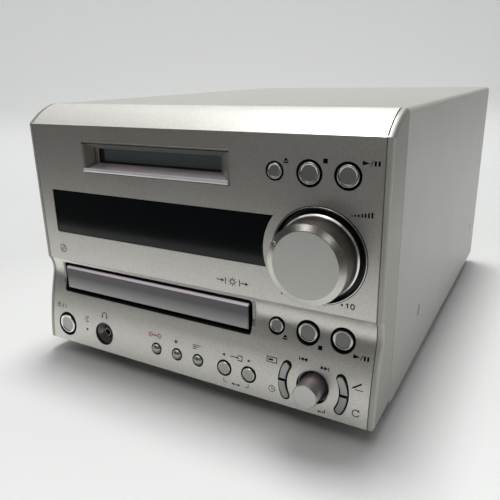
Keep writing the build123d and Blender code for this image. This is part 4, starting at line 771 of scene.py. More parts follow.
@dataclass
class VolumeControl:
    """The volume knob, the dish it stands in, and its shaft and rotary control."""

    x: float = 72.0
    z: float = 85.15
    reach: float = 14.2
    face_r: float = 15.0
    bevel_r: float = 17.9
    bevel_deep: float = 1.1
    bevel_runs: int = 10
    skirt_r: float = 18.6
    skirt_end: float = -1.8
    flange_r: float = 19.3
    flange_front: float = 1.2
    rear: float = 2.2
    roof_deep: float = 3.7
    boss_r: float = 5.5
    bore_r: float = 3.02
    pointer_deg: float = 151.4
    pointer_r: float = 16.5
    dimple_r: float = 0.8
    dimple_deep: float = 0.4
    lip_r: float = 22.6
    lip_inner: float = 21.4
    lip_proud: float = 0.5
    floor: float = 3.5
    floor_hole_r: float = 4.6

    def knob(self) -> Piece:
        """The turned knob, with its pointer dimple sunk into the bevel and darkened as painted shade."""
        here = (self.x, self.z)
        turn = math.radians(self.pointer_deg)
        spot = self.x + self.pointer_r * math.cos(turn), self.z + self.pointer_r * math.sin(turn)
        # Painted shade: the pointer dimple is darkened.
        dimple_shade = RoundZone(*spot, -1.0, 0.6, rgb(48, 46, 44), 0.5, 0.6, 0.3)
        fine = (Texture.FLAKE, 0.2, 0.003, 0.08, 0.03)
        face = Finish("turned_face", rgb(212, 213, 207), 0.5, 0.42, *fine, centre=here)
        fine = (Texture.TURNED, 0.2, 0.0, 0.05, 0.02)
        polished = Finish("turned_bevel", rgb(190, 188, 182), 0.2, 1.0, *fine, centre=here)
        polished = replace(polished, anisotropy=0.85, zones=(dimple_shade,))
        fine = (Texture.TURNED, 0.2, 0.003, 0.06, 0.03)
        body = Finish("knob_body", rgb(146, 140, 132), 0.3, 1.0, *fine, centre=here)
        front, bevel = -self.reach, -self.reach + self.bevel_deep
        roof = front + self.roof_deep
        crest = (self.bevel_r + 0.02, bevel + 0.45, 0)
        slope = []
        for i in range(self.bevel_runs + 1):
            radius = self.face_r + (self.bevel_r - self.face_r) * i / self.bevel_runs
            slope.append((radius, front + self.bevel_deep * i / self.bevel_runs, 0.0))
        foot = (self.skirt_r, self.skirt_end, 0)
        inside = [(self.flange_r, 0.4, 0), (self.flange_r, self.rear, 0.2)]
        inside += [(self.flange_r - 2, self.rear, 0.2), (self.bevel_r - 2, roof, 0.5)]
        inside += [(self.boss_r, roof, 0.3), (self.boss_r, 1.2, 0.2)]
        inside += [(self.bore_r, 1.2, 0), (self.bore_r, roof + 1, 0), (0, roof + 1, 0)]
        bands = [
            Band([(0, front, 0), (self.face_r - 0.3, front, 0), (self.face_r, front, 0)], face),
            Band([*slope, crest], polished),
            Band([crest, foot], body),
            Band([foot, (self.flange_r, -self.flange_front, 0.3), (self.flange_r, 0.4, 0)], KEY_EDGE),
            Band(inside, polished),
        ]
        piece = lathe("volume_knob_turned", bands, self.x, self.z, 240)
        dimple = at(spot[0], bevel - 0.5, spot[1])
        for vertex in piece.data.vertices:
            reach = (vertex.co - dimple).length / (self.dimple_r * MM)
            if reach < 1.0:
                vertex.co.y += self.dimple_deep * MM * (1 - reach**2)
        return piece

    def dish(self) -> Piece:
        """The dark dish round the knob, with its bright lip."""
        edge, outer, proud = self.lip_inner + 0.45, self.lip_r - 0.4, -self.lip_proud
        lip = [(edge, proud, 0), (outer, proud, 0.15), (outer, proud + 0.25, 0)]
        outside = [(outer, proud + 0.25, 0), (self.lip_r, -0.05, 0), (self.lip_r, 0, 0), (22.0, 0, 0)]
        outside += [(22.0, 5.0, 0), (self.floor_hole_r, 5.0, 0), (self.floor_hole_r, self.floor, 0)]
        inside = [(self.floor_hole_r, self.floor, 0), (self.lip_inner, self.floor, 0.6)]
        inside += [(self.lip_inner, proud + 0.3, 0.1), (edge, proud, 0)]
        bands = [Band(lip, KEY_EDGE), Band(outside, BLACK_PLASTIC), Band(inside, BLACK_PLASTIC)]
        return lathe("volume_dish", bands, self.x, self.z, 160)

    def dress(self) -> None:
        """Build the knob and the dish, and finish what is behind them."""
        knob = self.knob()
        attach(knob, "volume")
        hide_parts("volume_knob")
        dish = self.dish()
        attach(dish, "case")
        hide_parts("volume_ring")
        log.info("built the volume knob and its dish")
        dress(BRIGHT_STEEL, "volume_shaft")
        fine = (Texture.BRUSHED, 0.3, 0.002, 0.08)
        dress(Finish("pot_case", rgb(170, 168, 160), 0.3, 1.0, *fine), "volume_pot")


@dataclass(frozen=True)
class RoundKey:
    """A round key cap that stands in its hole with a black gap round it, its sides near-black as painted
    shade.
    """

    body: str
    x: float
    z: float
    hole_r: float
    face_share: float = 0.74
    crest_share: float = 0.9
    dish_deep: float = 0.3
    cap_share: float = 0.8
    proud: float = 0.45
    collar_wider: float = 0.6
    stem_r: float = 2.0
    stem_end: float = 14.7

    def build(self, rim: Finish, face: Finish) -> None:
        """Turn the cap, its collar and its stem, and put them in the key's place."""
        radius = self.hole_r * self.cap_share
        front = FRONT.depth(self.z) - self.proud
        guide = 5.0 if self.z > FRONT.ledge[1] else 6.5
        start, collar = guide + 0.1, guide + 1.3
        floor, side = front + self.dish_deep, front + 0.5
        face_r, collar_r = radius * self.face_share, self.hole_r + self.collar_wider
        edge = [(face_r, floor, 0), (face_r + 0.12, floor - 0.12, 0), (radius * self.crest_share, front, 0.5)]
        edge += [(radius, front + 0.12, 0.45), (radius, side, 0)]
        behind = [(radius, side, 0), (radius, start, 0), (collar_r, start, 0), (collar_r, collar, 0)]
        behind += [(self.stem_r, collar, 0), (self.stem_r, self.stem_end, 0), (0, self.stem_end, 0)]
        bands = [Band([(0, floor, 0), (face_r, floor, 0)], face), Band(edge, rim), Band(behind, KEY_SIDE_SHADE)]
        piece = lathe(self.body + "_cap", bands, self.x, self.z, 96)
        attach(piece, self.body)
        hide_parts(self.body)
        log.info("built %s", self.body)


class SignSheet:
    """Flat printed shapes laid on the front's curved face, in mm right of a spot on it and above it."""

    def __init__(self, name: str, ink: Finish, above: float = 0.04) -> None:
        self.name = name
        self.ink = ink
        self.above = above
        self.spot: Flat = (0.0, 0.0)
        self.form = bmesh.new()

    def go(self, spot: Flat) -> None:
        """Choose the spot, as (x, z) on the front, that the next shapes are measured from."""
        self.spot = spot

    def fill(self, points: list[Flat]) -> None:
        """One filled outline, turned so that it faces the front."""
        turned = zip(points, points[1:] + points[:1])
        if sum(a[0] * b[1] - b[0] * a[1] for a, b in turned) < 0:
            points = points[::-1]
        there = [(self.spot[0] + x, self.spot[1] + z) for x, z in points]
        corners = [self.form.verts.new(at(x, FRONT.depth(z) - self.above, z)) for x, z in there]
        self.form.faces.new(corners)

    def stroke(self, points: list[Flat], width: float = 0.4) -> None:
        """A line of even width through some points."""
        for a, b in zip(points, points[1:]):
            along = (Vector(b) - Vector(a)).normalized() * width / 2
            across = Vector((-along.y, along.x))
            start, end = Vector(a) - along, Vector(b) + along
            self.fill([tuple(p) for p in (start + across, start - across, end - across, end + across)])

    def box(self, x: float, z: float, wide: float, high: float) -> None:
        """A filled rectangle round a middle point."""
        a, b = wide / 2, high / 2
        self.fill([(x - a, z - b), (x + a, z - b), (x + a, z + b), (x - a, z + b)])

    def disc(self, x: float, z: float, radius: float, steps: int = 20) -> None:
        """A filled disc."""
        turns = [math.tau * step / steps for step in range(steps)]
        self.fill([(x + radius * math.cos(t), z + radius * math.sin(t)) for t in turns])

    def arc(
        self, x: float, z: float, radius: float, start: float = 0, end: float = 360, width: float = 0.36
    ) -> None:
        """A ring, or part of one between two angles in degrees."""
        steps = max(4, round(abs(end - start) / 15))
        turns = [math.radians(start + (end - start) * step / steps) for step in range(steps + 1)]
        inner, outer = radius - width / 2, radius + width / 2
        for a, b in zip(turns, turns[1:]):
            corners = [(inner, a), (outer, a), (outer, b), (inner, b)]
            self.fill([(x + r * math.cos(t), z + r * math.sin(t)) for r, t in corners])

    def arrow(self, x: float, z: float, wide: float, high: float, turn: float = 0) -> None:
        """A filled triangle that points right, or to another side by an angle in degrees."""
        cos, sin = math.cos(math.radians(turn)), math.sin(math.radians(turn))
        corners = [(-wide / 2, -high / 2), (wide / 2, 0), (-wide / 2, high / 2)]
        self.fill([(x + a * cos - b * sin, z + a * sin + b * cos) for a, b in corners])

    def finish(self) -> None:
        """Make the sheet an object that stays with the case."""
        piece = finish_mesh(self.name, self.form, [self.ink], closed=False)
        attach(piece, "case")
        log.info("printed %s", self.name)


@dataclass
class Prints:
    """The plain signs by the controls, with no lettering."""

    eject: tuple[Flat, ...] = ((56.7, 126.2), (56.3, 42.6))
    stop: tuple[Flat, ...] = ((74.6, 126.8), (74.2, 41.3))
    play: tuple[Flat, ...] = ((93.8, 126.9), (93.6, 41.2))
    quiet: Flat = (54.6, 64.7)
    loud: Flat = (83.8, 64.6)
    level: Flat = (91.0, 106.0)
    power: Flat = (-94.6, 30.2)
    moon: Flat = (-71.1, 25.6)
    phones: Flat = (-57.7, 30.4)
    discs: Flat = (-20.6, 27.0)
    record: Flat = (-6.4, 26.5)
    record_mode: Flat = (7.0, 26.5)
    inputs: tuple[Flat, Flat] = ((23.4, 26.7), (38.4, 26.7))
    cursor: Point = (24.2, 38.4, 12.4)
    screen: Flat = (50.6, 30.2)
    clock: Flat = (51.6, 15.9)
    skips: tuple[Flat, Flat] = ((66.8, 34.4), (77.4, 32.6))
    enter: Flat = (77.2, 11.6)
    pencil: Flat = (93.4, 28.6)
    loop: Flat = (93.8, 15.6)
    digital: Flat = (28.0, 65.6)
    disc: Flat = (-87.6, 66.4)

    def transport(self, ink: SignSheet) -> None:
        """Eject, stop and play signs by the six transport keys."""
        for spot in self.eject:
            ink.go(spot)
            ink.arrow(0, 0.4, 1.4, 2.3, 90)
            ink.box(0, -0.95, 2.3, 0.6)
        for spot in self.stop:
            ink.go(spot)
            ink.box(0, 0, 2.0, 2.0)
        for spot in self.play:
            ink.go(spot)
            ink.arrow(-2.0, 0, 3.2, 1.9)
            ink.stroke([(-0.1, -0.9), (0.6, 0.9)], 0.36)
            for x in (1.7, 3.2):
                ink.box(x, 0, 0.9, 2.0)

    def volume(self, ink: SignSheet) -> None:
        """End marks of the volume knob, plain numbers, and rising bars."""
        ink.go(self.quiet)
        ink.disc(0, 0, 0.5)
        ink.go(self.loud)
        ink.disc(0, 0, 0.55)
        ink.box(2.6, 0, 0.52, 2.3)
        ink.stroke([(2.0, 0.6), (2.5, 1.0)], 0.46)
        for side, start in ((-1, 180), (1, 0)):
            ink.arc(4.8, side * 0.4, 0.75, start, start + 180, 0.5)
            ink.box(4.8 + side * 0.75, 0, 0.5, 0.8)
        ink.go(self.level)
        for i in range(7):
            high = 0.5 + 0.32 * i
            ink.box(-4.2 + 1.4 * i, -1.2 + high / 2, 0.72, high)

    def left_end(self, ink: SignSheet) -> None:
        """Power, sleep and headphone signs."""
        ink.go(self.power)
        ink.arc(0, 0, 1.25, 115, 425, 0.44)
        ink.box(0, 1.05, 0.34, 1.5)
        ink.stroke([(3.0, -1.2), (3.8, 1.2)], 0.4)
        ink.box(5.6, 0, 0.4, 2.1)
        ink.go(self.moon)
        ink.arc(0, 0, 1.6, 50, 310, 0.34)
        ink.arc(1.1, 0, 1.25, 90, 270, 0.34)
        ink.go(self.phones)
        ink.arc(0, 0, 1.75, 0, 180, 0.44)
        for side in (-1, 1):
            ink.box(side * 1.7, -0.75, 0.8, 1.7)

    def recording(self, ink: SignSheet, red: SignSheet) -> None:
        """Signs of the three domed keys."""
        red.go(self.discs)
        for x in (-2.9, 2.9):
            red.arc(x, 0, 1.15, width=0.44)
            red.disc(x, 0, 0.32)
        red.stroke([(-1.1, 0), (0.4, 0)], 0.45)
        red.arrow(0.75, 0, 1.0, 1.4)
        red.go(self.record)
        red.disc(0, 0, 0.95)
        ink.go(self.record_mode)
        for i, wide in enumerate((5.0, 3.6, 2.2)):
            ink.box(-2.5 + wide / 2, 0.95 - 0.95 * i, wide, 0.4)

    def inputs_and_cursor(self, ink: SignSheet) -> None:
        """Arrows over the input keys, and the bracket that joins them below."""
        for spot, turn in zip(self.inputs, (180, 0)):
            ink.go(spot)
            ink.arrow(0, 0, 1.9, 1.5, turn)
        (left, z), (right, _) = self.inputs
        ink.go(((left + right) / 2, z))
        ink.stroke([(-3.4, 0), (0.4, 0)], 0.45)
        ink.arrow(0.9, 0, 1.1, 1.6)
        ink.stroke([(1.0, 1.2), (3.4, 1.2)], 0.45)
        ink.stroke([(3.4, 1.2), (3.4, -1.2)], 0.45)
        ink.stroke([(3.4, -1.2), (1.0, -1.2)], 0.45)
        left, right, z = self.cursor
        for x, inwards in ((left, 1.6), (right, -1.6)):
            ink.go((x, z))
            ink.stroke([(0, 1.7), (0, 0), (inwards, 0)], 0.36)
        ink.go(((left + right) / 2, z))
        for side in (-1, 1):
            ink.arrow(side * 1.9, 0, 1.5, 1.5, 90 - side * 90)
            ink.stroke([(0, 0), (side * 1.4, 0)], 0.4)

    def jog(self, ink: SignSheet) -> None:
        """Signs round the jog knob and on its four curved keys' places."""
        for spot, side in zip(self.skips, (-1, 1)):
            ink.go(spot)
            for x in (-side * 0.95, side * 0.85):
                ink.arrow(x, 0, 1.9, 1.8, 90 - side * 90)
            ink.box(side * 2.05, 0, 0.42, 1.8)
        ink.go(self.enter)
        ink.stroke([(1.9, 1.0), (1.9, -0.3), (-0.8, -0.3)], 0.42)
        ink.arrow(-1.2, -0.3, 1.1, 1.4, 180)
        ink.go(self.screen)
        ink.stroke([(-2.6, -1.1), (2.6, -1.1), (2.6, 1.4), (-2.6, 1.4), (-2.6, -1.1)])
        ink.box(-0.6, 0.15, 2.6, 0.9)
        ink.go(self.clock)
        ink.arc(0, 0, 1.6, width=0.32)
        ink.stroke([(0, 1.0), (0, 0), (0.7, -0.3)])
        ink.go(self.pencil)
        ink.stroke([(-1.5, -1.1), (1.6, 1.0)], 0.75)
        ink.arrow(-2.25, -1.6, 0.9, 0.7, 214)
        ink.stroke([(-0.6, -1.9), (2.6, -1.9)], 0.38)
        ink.go(self.loop)
        ink.arc(0, 0, 1.6, 60, 340, 0.44)
        ink.arrow(1.35, 1.15, 1.2, 1.3, 315)

    def middle(self, ink: SignSheet) -> None:
        """The light link's sign and a plain disc by the tray."""
        ink.go(self.digital)
        ink.arrow(-5.5, 0, 1.6, 1.9)
        ink.stroke([(-9.0, 0), (-6.4, 0)], 0.45)
        ink.stroke([(-4.0, -1.5), (-4.0, 1.5)], 0.45)
        ink.arc(0, 0, 1.1, width=0.44)
        for turn in range(0, 360, 45):
            cos, sin = math.cos(math.radians(turn)), math.sin(math.radians(turn))
            ink.stroke([(1.6 * cos, 1.6 * sin), (2.1 * cos, 2.1 * sin)], 0.38)
        ink.stroke([(4.0, -1.5), (4.0, 1.5)], 0.45)
        ink.stroke([(4.9, 0), (7.2, 0)], 0.45)
        ink.arrow(8.0, 0, 1.6, 1.9)
        ink.go(self.disc)
        ink.arc(0, 0, 2.3, width=0.4)
        ink.arc(0, 0, 0.75, width=0.3)
        for start in (20, 200):
            ink.arc(0, 0, 1.55, start, start + 50, 0.3)

    def dress(self) -> None:
        """Print the signs."""
        ink = SignSheet("dark_signs", INK)
        red = SignSheet("red_signs", RED_INK)
        self.transport(ink)
        self.volume(ink)
        self.left_end(ink)
        self.recording(ink, red)
        self.inputs_and_cursor(ink)
        self.jog(ink)
        self.middle(ink)
        ink.finish()
        red.finish()


@dataclass
class TransportKeys:
    """Three keys for each disc drive, in the same three columns."""

    columns: Point = (51.2, 67.4, 84.4)
    # The lower row's key faces are painted darker, as shade.
    rows: tuple[tuple[str, float, Finish], ...] = (("md", 121.2, KEY_FACE), ("cd", 46.8, SHADED_KEY_FACE))
    eject_hole_r: float = 4.4
    play_hole_r: float = 6.0

    def dress(self) -> None:
        """Build the six caps."""
        for drive, z, face in self.rows:
            for kind, x in zip(("eject", "stop", "play"), self.columns):
                hole_r = self.eject_hole_r if kind == "eject" else self.play_hole_r
                RoundKey(f"{drive}_{kind}_key", x, z, hole_r).build(KEY_RIM, face)


@dataclass
class BottomRow:
    """Standby key, headphone socket, three domed keys and the two input keys."""

    z: float = 19.6
    standby_x: float = -87.3
    standby_hole_r: float = 7.2
    phones_x: float = -57.7
    domes: tuple[tuple[str, float], ...] = (("dubbing", -19.3), ("record", -5.6), ("record_mode", 8.0))
    dome_r: float = 2.8
    dome_rise: float = 1.6
    dome_proud: float = 0.2
    dome_runs: int = 12
    collar_r: float = 4.05
    stem_r: float = 2
    stem_end: float = 14.7
    inputs: tuple[tuple[str, float], ...] = (("input_left", 24.2), ("input_right", 38.4))
    input_hole_r: float = 4.35

    def dome(self, body: str, x: float) -> None:
        """One small domed key."""
        rim = FRONT.depth(self.z) - self.dome_proud
        radius = (self.dome_r**2 + self.dome_rise**2) / (2 * self.dome_rise)
        crown = []
        for step in range(self.dome_runs + 1):
            turn = math.asin(self.dome_r / radius) * step / self.dome_runs
            height = rim - self.dome_rise + radius * (1 - math.cos(turn))
            crown.append((radius * math.sin(turn), height, 0.0))
        start = [(self.dome_r, rim, 0), (self.dome_r, rim + 0.15, 0)]
        skirt = [start[-1], (self.dome_r, 6.6, 0), (self.collar_r, 6.6, 0), (self.collar_r, 7.8, 0)]
        skirt += [(self.stem_r, 7.8, 0), (self.stem_r, self.stem_end, 0), (0, self.stem_end, 0)]
        bands = [Band(crown, DOME_METAL), Band(start, DOME_METAL), Band(skirt, KEY_SIDE_SHADE)]
        piece = lathe(body + "_cap", bands, x, self.z, 64)
        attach(piece, body)
        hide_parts(body)

    def dress(self) -> None:
        """Build the keys of the row and finish the headphone socket."""
        standby = RoundKey("standby_key", self.standby_x, self.z, self.standby_hole_r, 0.76)
        standby.build(CHROME, PALE_FACE)
        for name, x in self.domes:
            self.dome(name + "_key", x)
        for name, x in self.inputs:
            key = RoundKey(name + "_key", x, self.z, self.input_hole_r, 0.84, 0.93, 0.1)
            key.build(KEY_EDGE, INPUT_FACE)
        cone = RoundZone(self.phones_x, self.z, 3.1, 8.0, rgb(112, 109, 106), 0.32, 0.7, 0.2)
        tube = RoundZone(self.phones_x, self.z, 1.75, 2.3, rgb(128, 126, 120), 0.3, 0.9, 0.1)
        fine = (Texture.GRAIN, 0.25, 0.004, 0.15)
        dress(Finish("phones_plastic", rgb(24, 24, 25), 0.35, 0.0, *fine, zones=(cone, tube)), "phones_jack")
        log.info("built the bottom row")


@dataclass
class JogControl:
    """The jog knob in its well, and the four curved keys round it."""

    x: float = 72.3
    z: float = 22.2
    face_r: float = 5.6
    key_rise: float = 3.86
    key_proud: float = 0.9

    def dress(self) -> None:
        """Finish the jog control and its keys."""
        face = RoundZone(self.x, self.z, -1.0, self.face_r, rgb(196, 195, 192), 0.42, 0.7, 0.1)
        fine = (Texture.TURNED, 0.15, 0.002, 0.05)
        dress(Finish("jog_metal", rgb(182, 172, 174), 0.3, 0.75, *fine, zones=(face,)), "jog_knob")
        dress(BRIGHT_STEEL, "jog_spindle")
        dress(SHEET_STEEL, "jog_encoder")
        fine = (Texture.TURNED, 0.3, 0.003, 0.1)
        dress(Finish("jog_well_metal", rgb(184, 176, 187), 0.34, 0.35, *fine), "jog_well")
        dress(self.curved_finish("curved_key_upper", 1), "display_key", "edit_key")
        dress(self.curved_finish("curved_key_lower", -1), "timer_key", "repeat_key")

    def curved_finish(self, name: str, side: int) -> Finish:
        """Satin silver in front, with sides near-black as painted shade.

        Args:
            name: the finish's name.
            side: 1 for the keys above the middle, -1 for those below.

        Returns:
            The finish of the keys on that side.
        """
        front = FRONT.depth(self.z + side * self.key_rise) - self.key_proud
        # Painted shade: all but the front of each curved key is near-black, as the shade in the gap round it.
        sides = BoxZone((-200, front + 0.5, 0), (200, 100, 200), rgb(14, 14, 14), 0.6, 0.0, 0.12)
        return Finish(name, rgb(158, 158, 156), 0.3, 0.8, *SATIN, zones=(sides,))


@dataclass
class DiscTray:
    """The disc tray, its door, and the loader that carries it."""

    def dress(self) -> None:
        """Finish the tray and every piece of the loader, with a painted highlight on the door's top bevel and
        the door's face lighter towards the bottom as painted light.
        """
        # Painted highlight on the door's top bevel, and painted light on the lower part of its face.
        bevel = BoxZone((-200, -90, 53.7), (200, 90, 60), PAINTED_LILAC_HIGHLIGHT, 0.28, 0.7, 0.3)
        lower_face_light = BoxZone((-200, -90, 0), (200, 90, 49.6), rgb(150, 149, 148), 0.34, 0.9, 8.5)
        fine = (Texture.FLAKE, 0.35, 0.003, 0.12)
        dress(Finish("door_paint", rgb(89, 88, 89), 0.34, 0.9, *fine, zones=(lower_face_light, bevel)), "tray_door")
        dress(BLACK_PLASTIC, "cd_tray")
        dress(WHITE_PLASTIC, "tray_gear", "motor_pulley", "disc_clamp")
        belt = BoxZone((-90, 0, 24.5), (-30, 80, 28), rgb(20, 20, 20), 0.6, 0.0)
        fine = (Texture.BRUSHED, 0.3, 0.002, 0.06)
        dress(Finish("motor_case", rgb(188, 188, 184), 0.28, 1.0, *fine, zones=(belt,)), "loader_drive")
        dress(GREY_PLASTIC, "cd_loader")
        dress(SHEET_STEEL, "clamp_strip", "traverse")
        dress(BLACK_PLASTIC, "turntable")
        dress(BRIGHT_STEEL, "guide_rods")
        lens = BoxZone((-29.5, 100.5, 39.25), (-22.5, 108, 45), rgb(70, 52, 96), 0.05, 0.0)
        fine = (Texture.GRAIN, 0.3, 0.006, 0.15)
        dress(Finish("sled_plastic", rgb(34, 34, 36), 0.4, 0.0, *fine, zones=(lens,)), "pickup_sled")


@dataclass
class CartridgeDrive:
    """The cartridge disc drive on its sheet bridge."""

    def dress(self) -> None:
        """Finish the drive, its holder and its spindle."""
        dress(SHEET_STEEL, "drive_bridge", "md_drive", "md_holder")
        dress(BRIGHT_STEEL, "md_spindle")


@dataclass
class PowerSection:
    """The transformer, the boards with their parts, and the heat sink."""

    light_x: float = -71.1
    light_z: float = 19.6
    light_r: float = 1.9

    def dress(self) -> None:
        """Finish the pieces inside the rear half of the case."""
        coil = BoxZone((40, 170, 20), (110, 250, 53), rgb(150, 118, 50), 0.5, 0.0)
        fine = (Texture.LAYERS, 0.6, 0.03, 0.25)
        dress(Finish("varnished_core", rgb(46, 42, 38), 0.4, 0.3, *fine, zones=(coil,)), "transformer")
        dress(GREEN_BOARD, "main_board")
        pipe = RoundZone(self.light_x, self.light_z, -1.0, self.light_r, rgb(38, 14, 16), 0.2, 0.0, 0.05)
        dress(replace(GREEN_BOARD, name="front_board_green", zones=(pipe,)), "front_boards")
        dress(BLACK_PLASTIC, "key_switches")
        dress(Finish("board_cans", rgb(40, 44, 60), 0.35, 0.2, Texture.GRAIN, 0.5, 0.004, 0.1), "board_parts")
        fine = (Texture.BRUSHED, 0.4, 0.004, 0.08)
        dress(Finish("bare_aluminium", rgb(190, 192, 194), 0.35, 1.0, *fine), "heat_sink")


@dataclass
class CaseShell:
    """The folded cover, the chassis, the rear panel, the feet and the screws."""

    def dress(self) -> None:
        """Finish the shell of the case."""
        dress(COVER_PAINT, "top_cover", "rear_panel")
        dress(SHEET_STEEL, "bottom_chassis")
        dress(RUBBER, "feet")
        fine = (Texture.TURNED, 0.3, 0.002, 0.1)
        dress(Finish("dark_screw", rgb(120, 118, 114), 0.3, 1.0, *fine), "case_screws")


@dataclass
class RearSockets:
    """The sockets on the rear panel and the mains inlet."""

    phono_columns: tuple[float, ...] = (-84.0, -70.0, -56.0, -42.0)
    phono_rows: tuple = ((104.0, rgb(226, 224, 216)), (88.0, rgb(178, 34, 36)))
    posts: tuple[float, ...] = (-12.0, 6.0, 24.0, 42.0)
    post_tones: tuple[Rgb, Rgb] = (rgb(172, 30, 32), rgb(34, 34, 35))
    post_z: float = 62.0

    def dress(self) -> None:
        """Finish the sockets and the inlet."""
        zones = []
        for x in self.phono_columns:
            for z, tone in self.phono_rows:
                zones.append(RoundZone(x, z, 1.7, 3.3, tone, 0.35, 0.0))
                zones.append(RoundZone(x, z, 3.3, 4.4, rgb(196, 194, 188), 0.2, 1.0))
        for x, tone in zip(self.posts, self.post_tones * 2):
            zones.append(RoundZone(x, self.post_z, 0.0, 5.8, tone, 0.35, 0.0))
            zones.append(RoundZone(x, self.post_z, 0.0, 2.6, rgb(204, 196, 172), 0.2, 1.0))
        dress(replace(BLACK_PLASTIC, name="socket_plastic", zones=tuple(zones)), "rear_sockets")
        pins = BoxZone((72, 262, 30), (84, 277, 34), rgb(200, 196, 180), 0.2, 1.0)
        fine = (Texture.GRAIN, 0.3, 0.006, 0.15)
        dress(Finish("inlet_plastic", rgb(24, 24, 25), 0.4, 0.0, *fine, zones=(pins,)), "ac_inlet")


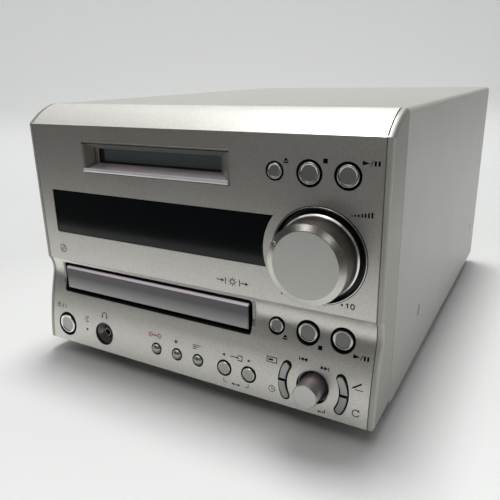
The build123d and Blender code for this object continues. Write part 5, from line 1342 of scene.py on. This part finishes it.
@dataclass
class Studio:
    """A plain pale room, soft lamps, and the camera. Lengths are in metres where no name says mm."""

    floor_r: float = 2.4
    curve_r: float = 1.2
    curve_runs: int = 12
    wall_top: float = 3.4
    room_steps: int = 96
    tone: Rgb = rgb(230, 231, 230)
    seen_near: Rgb = rgb(219, 220, 219)
    seen_far: Rgb = rgb(190, 191, 190)
    seen_middle_mm: Point = (150, -100, 0)
    far_from: float = 0.12
    far_over: float = 0.36
    near_again: float = 2.6
    near_over: float = 1.8
    card_distance: float = 0.205
    card_left: float = -1.1
    card_right: float = 0.55
    card_top: float = 0.27
    lens: float = 38.62
    film_wide: float = 36.0
    camera_mm: Point = (155.897, -205.829, 161.616)
    right: Point = (0.8712, 0.4905, -0.0205)
    down: Point = (0.1370, -0.2829, -0.9493)
    forward: Point = (-0.4714, 0.8242, -0.3137)

    def room(self) -> None:
        """A floor that curves up into a wall all round."""
        outline = [(0.0, 0.0), (self.floor_r, 0.0)]
        for step in range(1, self.curve_runs + 1):
            turn = math.pi / 2 * step / self.curve_runs
            reach = self.floor_r + self.curve_r * math.sin(turn)
            outline.append((reach, self.curve_r * (1 - math.cos(turn))))
        outline.append((self.floor_r + self.curve_r, self.wall_top))
        form = bmesh.new()
        rows = [ring(form, radius, self.room_steps, lambda a, b: (a, b, top)) for radius, top in outline]
        join_rings(form, rows, inwards=True)
        fine = (Texture.GRAIN, 2.0, 0.0, 0.01, 0.0)
        backdrop = Finish("backdrop_paper", self.tone, 0.8, 0.0, *fine, specular=0.1)
        room = finish_mesh("room", form, [backdrop], 60)
        self.paint_seen_light(Sheet(backdrop.build().node_tree))

    def paint_seen_light(self, sheet: Sheet) -> None:
        """Paint light and shade on the backdrop for the camera alone: lighter near the object, darker further
        out, and lighter again far away.
        """
        away = sheet.vector("DISTANCE", sheet.place(), at(*self.seen_middle_mm))
        past = sheet.math("SUBTRACT", away, self.far_from)
        left = sheet.math("SUBTRACT", self.near_again, away)
        outwards = sheet.math("DIVIDE", past, self.far_over, clamp=True)
        back = sheet.math("DIVIDE", left, self.near_over, clamp=True)
        toned = sheet.mix_colour(sheet.math("MULTIPLY", outwards, back), self.seen_near, self.seen_far)
        seen = sheet.add("ShaderNodeLightPath").outputs["Is Camera Ray"]
        shader = sheet.tree.nodes["Principled BSDF"]
        sheet.feed(shader.inputs["Base Color"], sheet.mix_colour(seen, self.tone, toned))

    def card(self) -> None:
        """A dark card out in front, seen only in the metal's reflections."""
        form = bmesh.new()
        y = FACE_AT - self.card_distance
        low = [form.verts.new((x, y, 0.0)) for x in (self.card_left, self.card_right)]
        high = [form.verts.new((x, y, self.card_top)) for x in (self.card_right, self.card_left)]
        form.faces.new(low + high)
        fine = (Texture.GRAIN, 2.0, 0.0, 0.05, 0.0)
        dark = Finish("dark_card", rgb(70, 68, 66), 0.9, 0.0, *fine, specular=0.0)
        card = finish_mesh("dark_card", form, [dark], 60)
        card.visible_camera = False
        card.visible_shadow = False

    def lamp(self, name: str, place: Point, aim: Point, size: float, power: float) -> Piece:
        """One square soft lamp."""
        light = bpy.data.lights.new(name, "AREA")
        light.size = size
        light.energy = power
        lamp = bpy.data.objects.new(name, light)
        lamp.location = place
        lamp.rotation_euler = (Vector(aim) - Vector(place)).to_track_quat("-Z", "Y").to_euler()
        return link(lamp)

    def lamps(self) -> None:
        """The soft lamps, one of them seen in the metal alone, and two glints on the volume knob's bevel."""
        self.lamp("ceiling_lamp", (-0.9, 0.3, 2.2), (-0.9, 0.3, 0.0), 4.0, 40.0)
        self.lamp("top_lamp", (-0.12, 0.26, 1.9), (0.0, -0.1, 0.0), 0.5, 32.0)
        self.lamp("cap_lamp", (-0.2, -0.35, 1.75), (0.0, -0.05, 0.1), 0.9, 8.0).visible_diffuse = False
        self.lamp("wall_lamp", (-0.3, 1.2, 2.3), (-1.2, 3.4, 0.6), 1.2, 20.0)
        knob = at(72.0, -14.0, 100.0)
        glints = (("glint_left", (3.0, -165.0, 170.0), 0.005), ("glint_right", (94.0, -188.0, 142.0), 0.003))
        for name, place, power in glints:
            glint = self.lamp(name, at(*place), knob, 0.02, power)
            glint.visible_diffuse = False
            glint.visible_camera = False

    def world(self) -> None:
        """Even pale light from all round."""
        world = bpy.data.worlds.new("pale_world")
        world.use_nodes = True
        background = world.node_tree.nodes["Background"]
        background.inputs["Color"].default_value = (*rgb(232, 234, 236), 1)
        background.inputs["Strength"].default_value = 0.14
        bpy.context.scene.world = world

    def camera(self) -> None:
        """The camera, where the object was seen from."""
        data = bpy.data.cameras.new("camera")
        data.lens = self.lens
        data.sensor_width = self.film_wide
        data.clip_start = 0.01
        camera = link(bpy.data.objects.new("camera", data))
        axes = Matrix((self.right, [-v for v in self.down], [-v for v in self.forward])).transposed()
        camera.matrix_world = Matrix.Translation(at(*self.camera_mm)) @ axes.to_4x4()
        bpy.context.scene.camera = camera

    def build(self) -> None:
        """Set up the room, the light and the camera."""
        self.room()
        self.card()
        self.world()
        self.lamps()
        self.camera()
        bpy.context.scene.view_settings.view_transform = "Standard"
        log.info("set up the room, lamps and camera")


def main() -> None:
    """Build and dress the receiver, one sub-assembly after another."""
    logging.basicConfig(level=logging.INFO, format="%(name)s: %(message)s")
    for assembly in (
        FrontPanel(),
        CartridgeSlot(),
        Display(),
        VolumeControl(),
        TransportKeys(),
        BottomRow(),
        JogControl(),
        DiscTray(),
        CartridgeDrive(),
        PowerSection(),
        CaseShell(),
        RearSockets(),
        Prints(),
    ):
        assembly.dress()
    Studio().build()


if __name__ == "__main__":
    main()
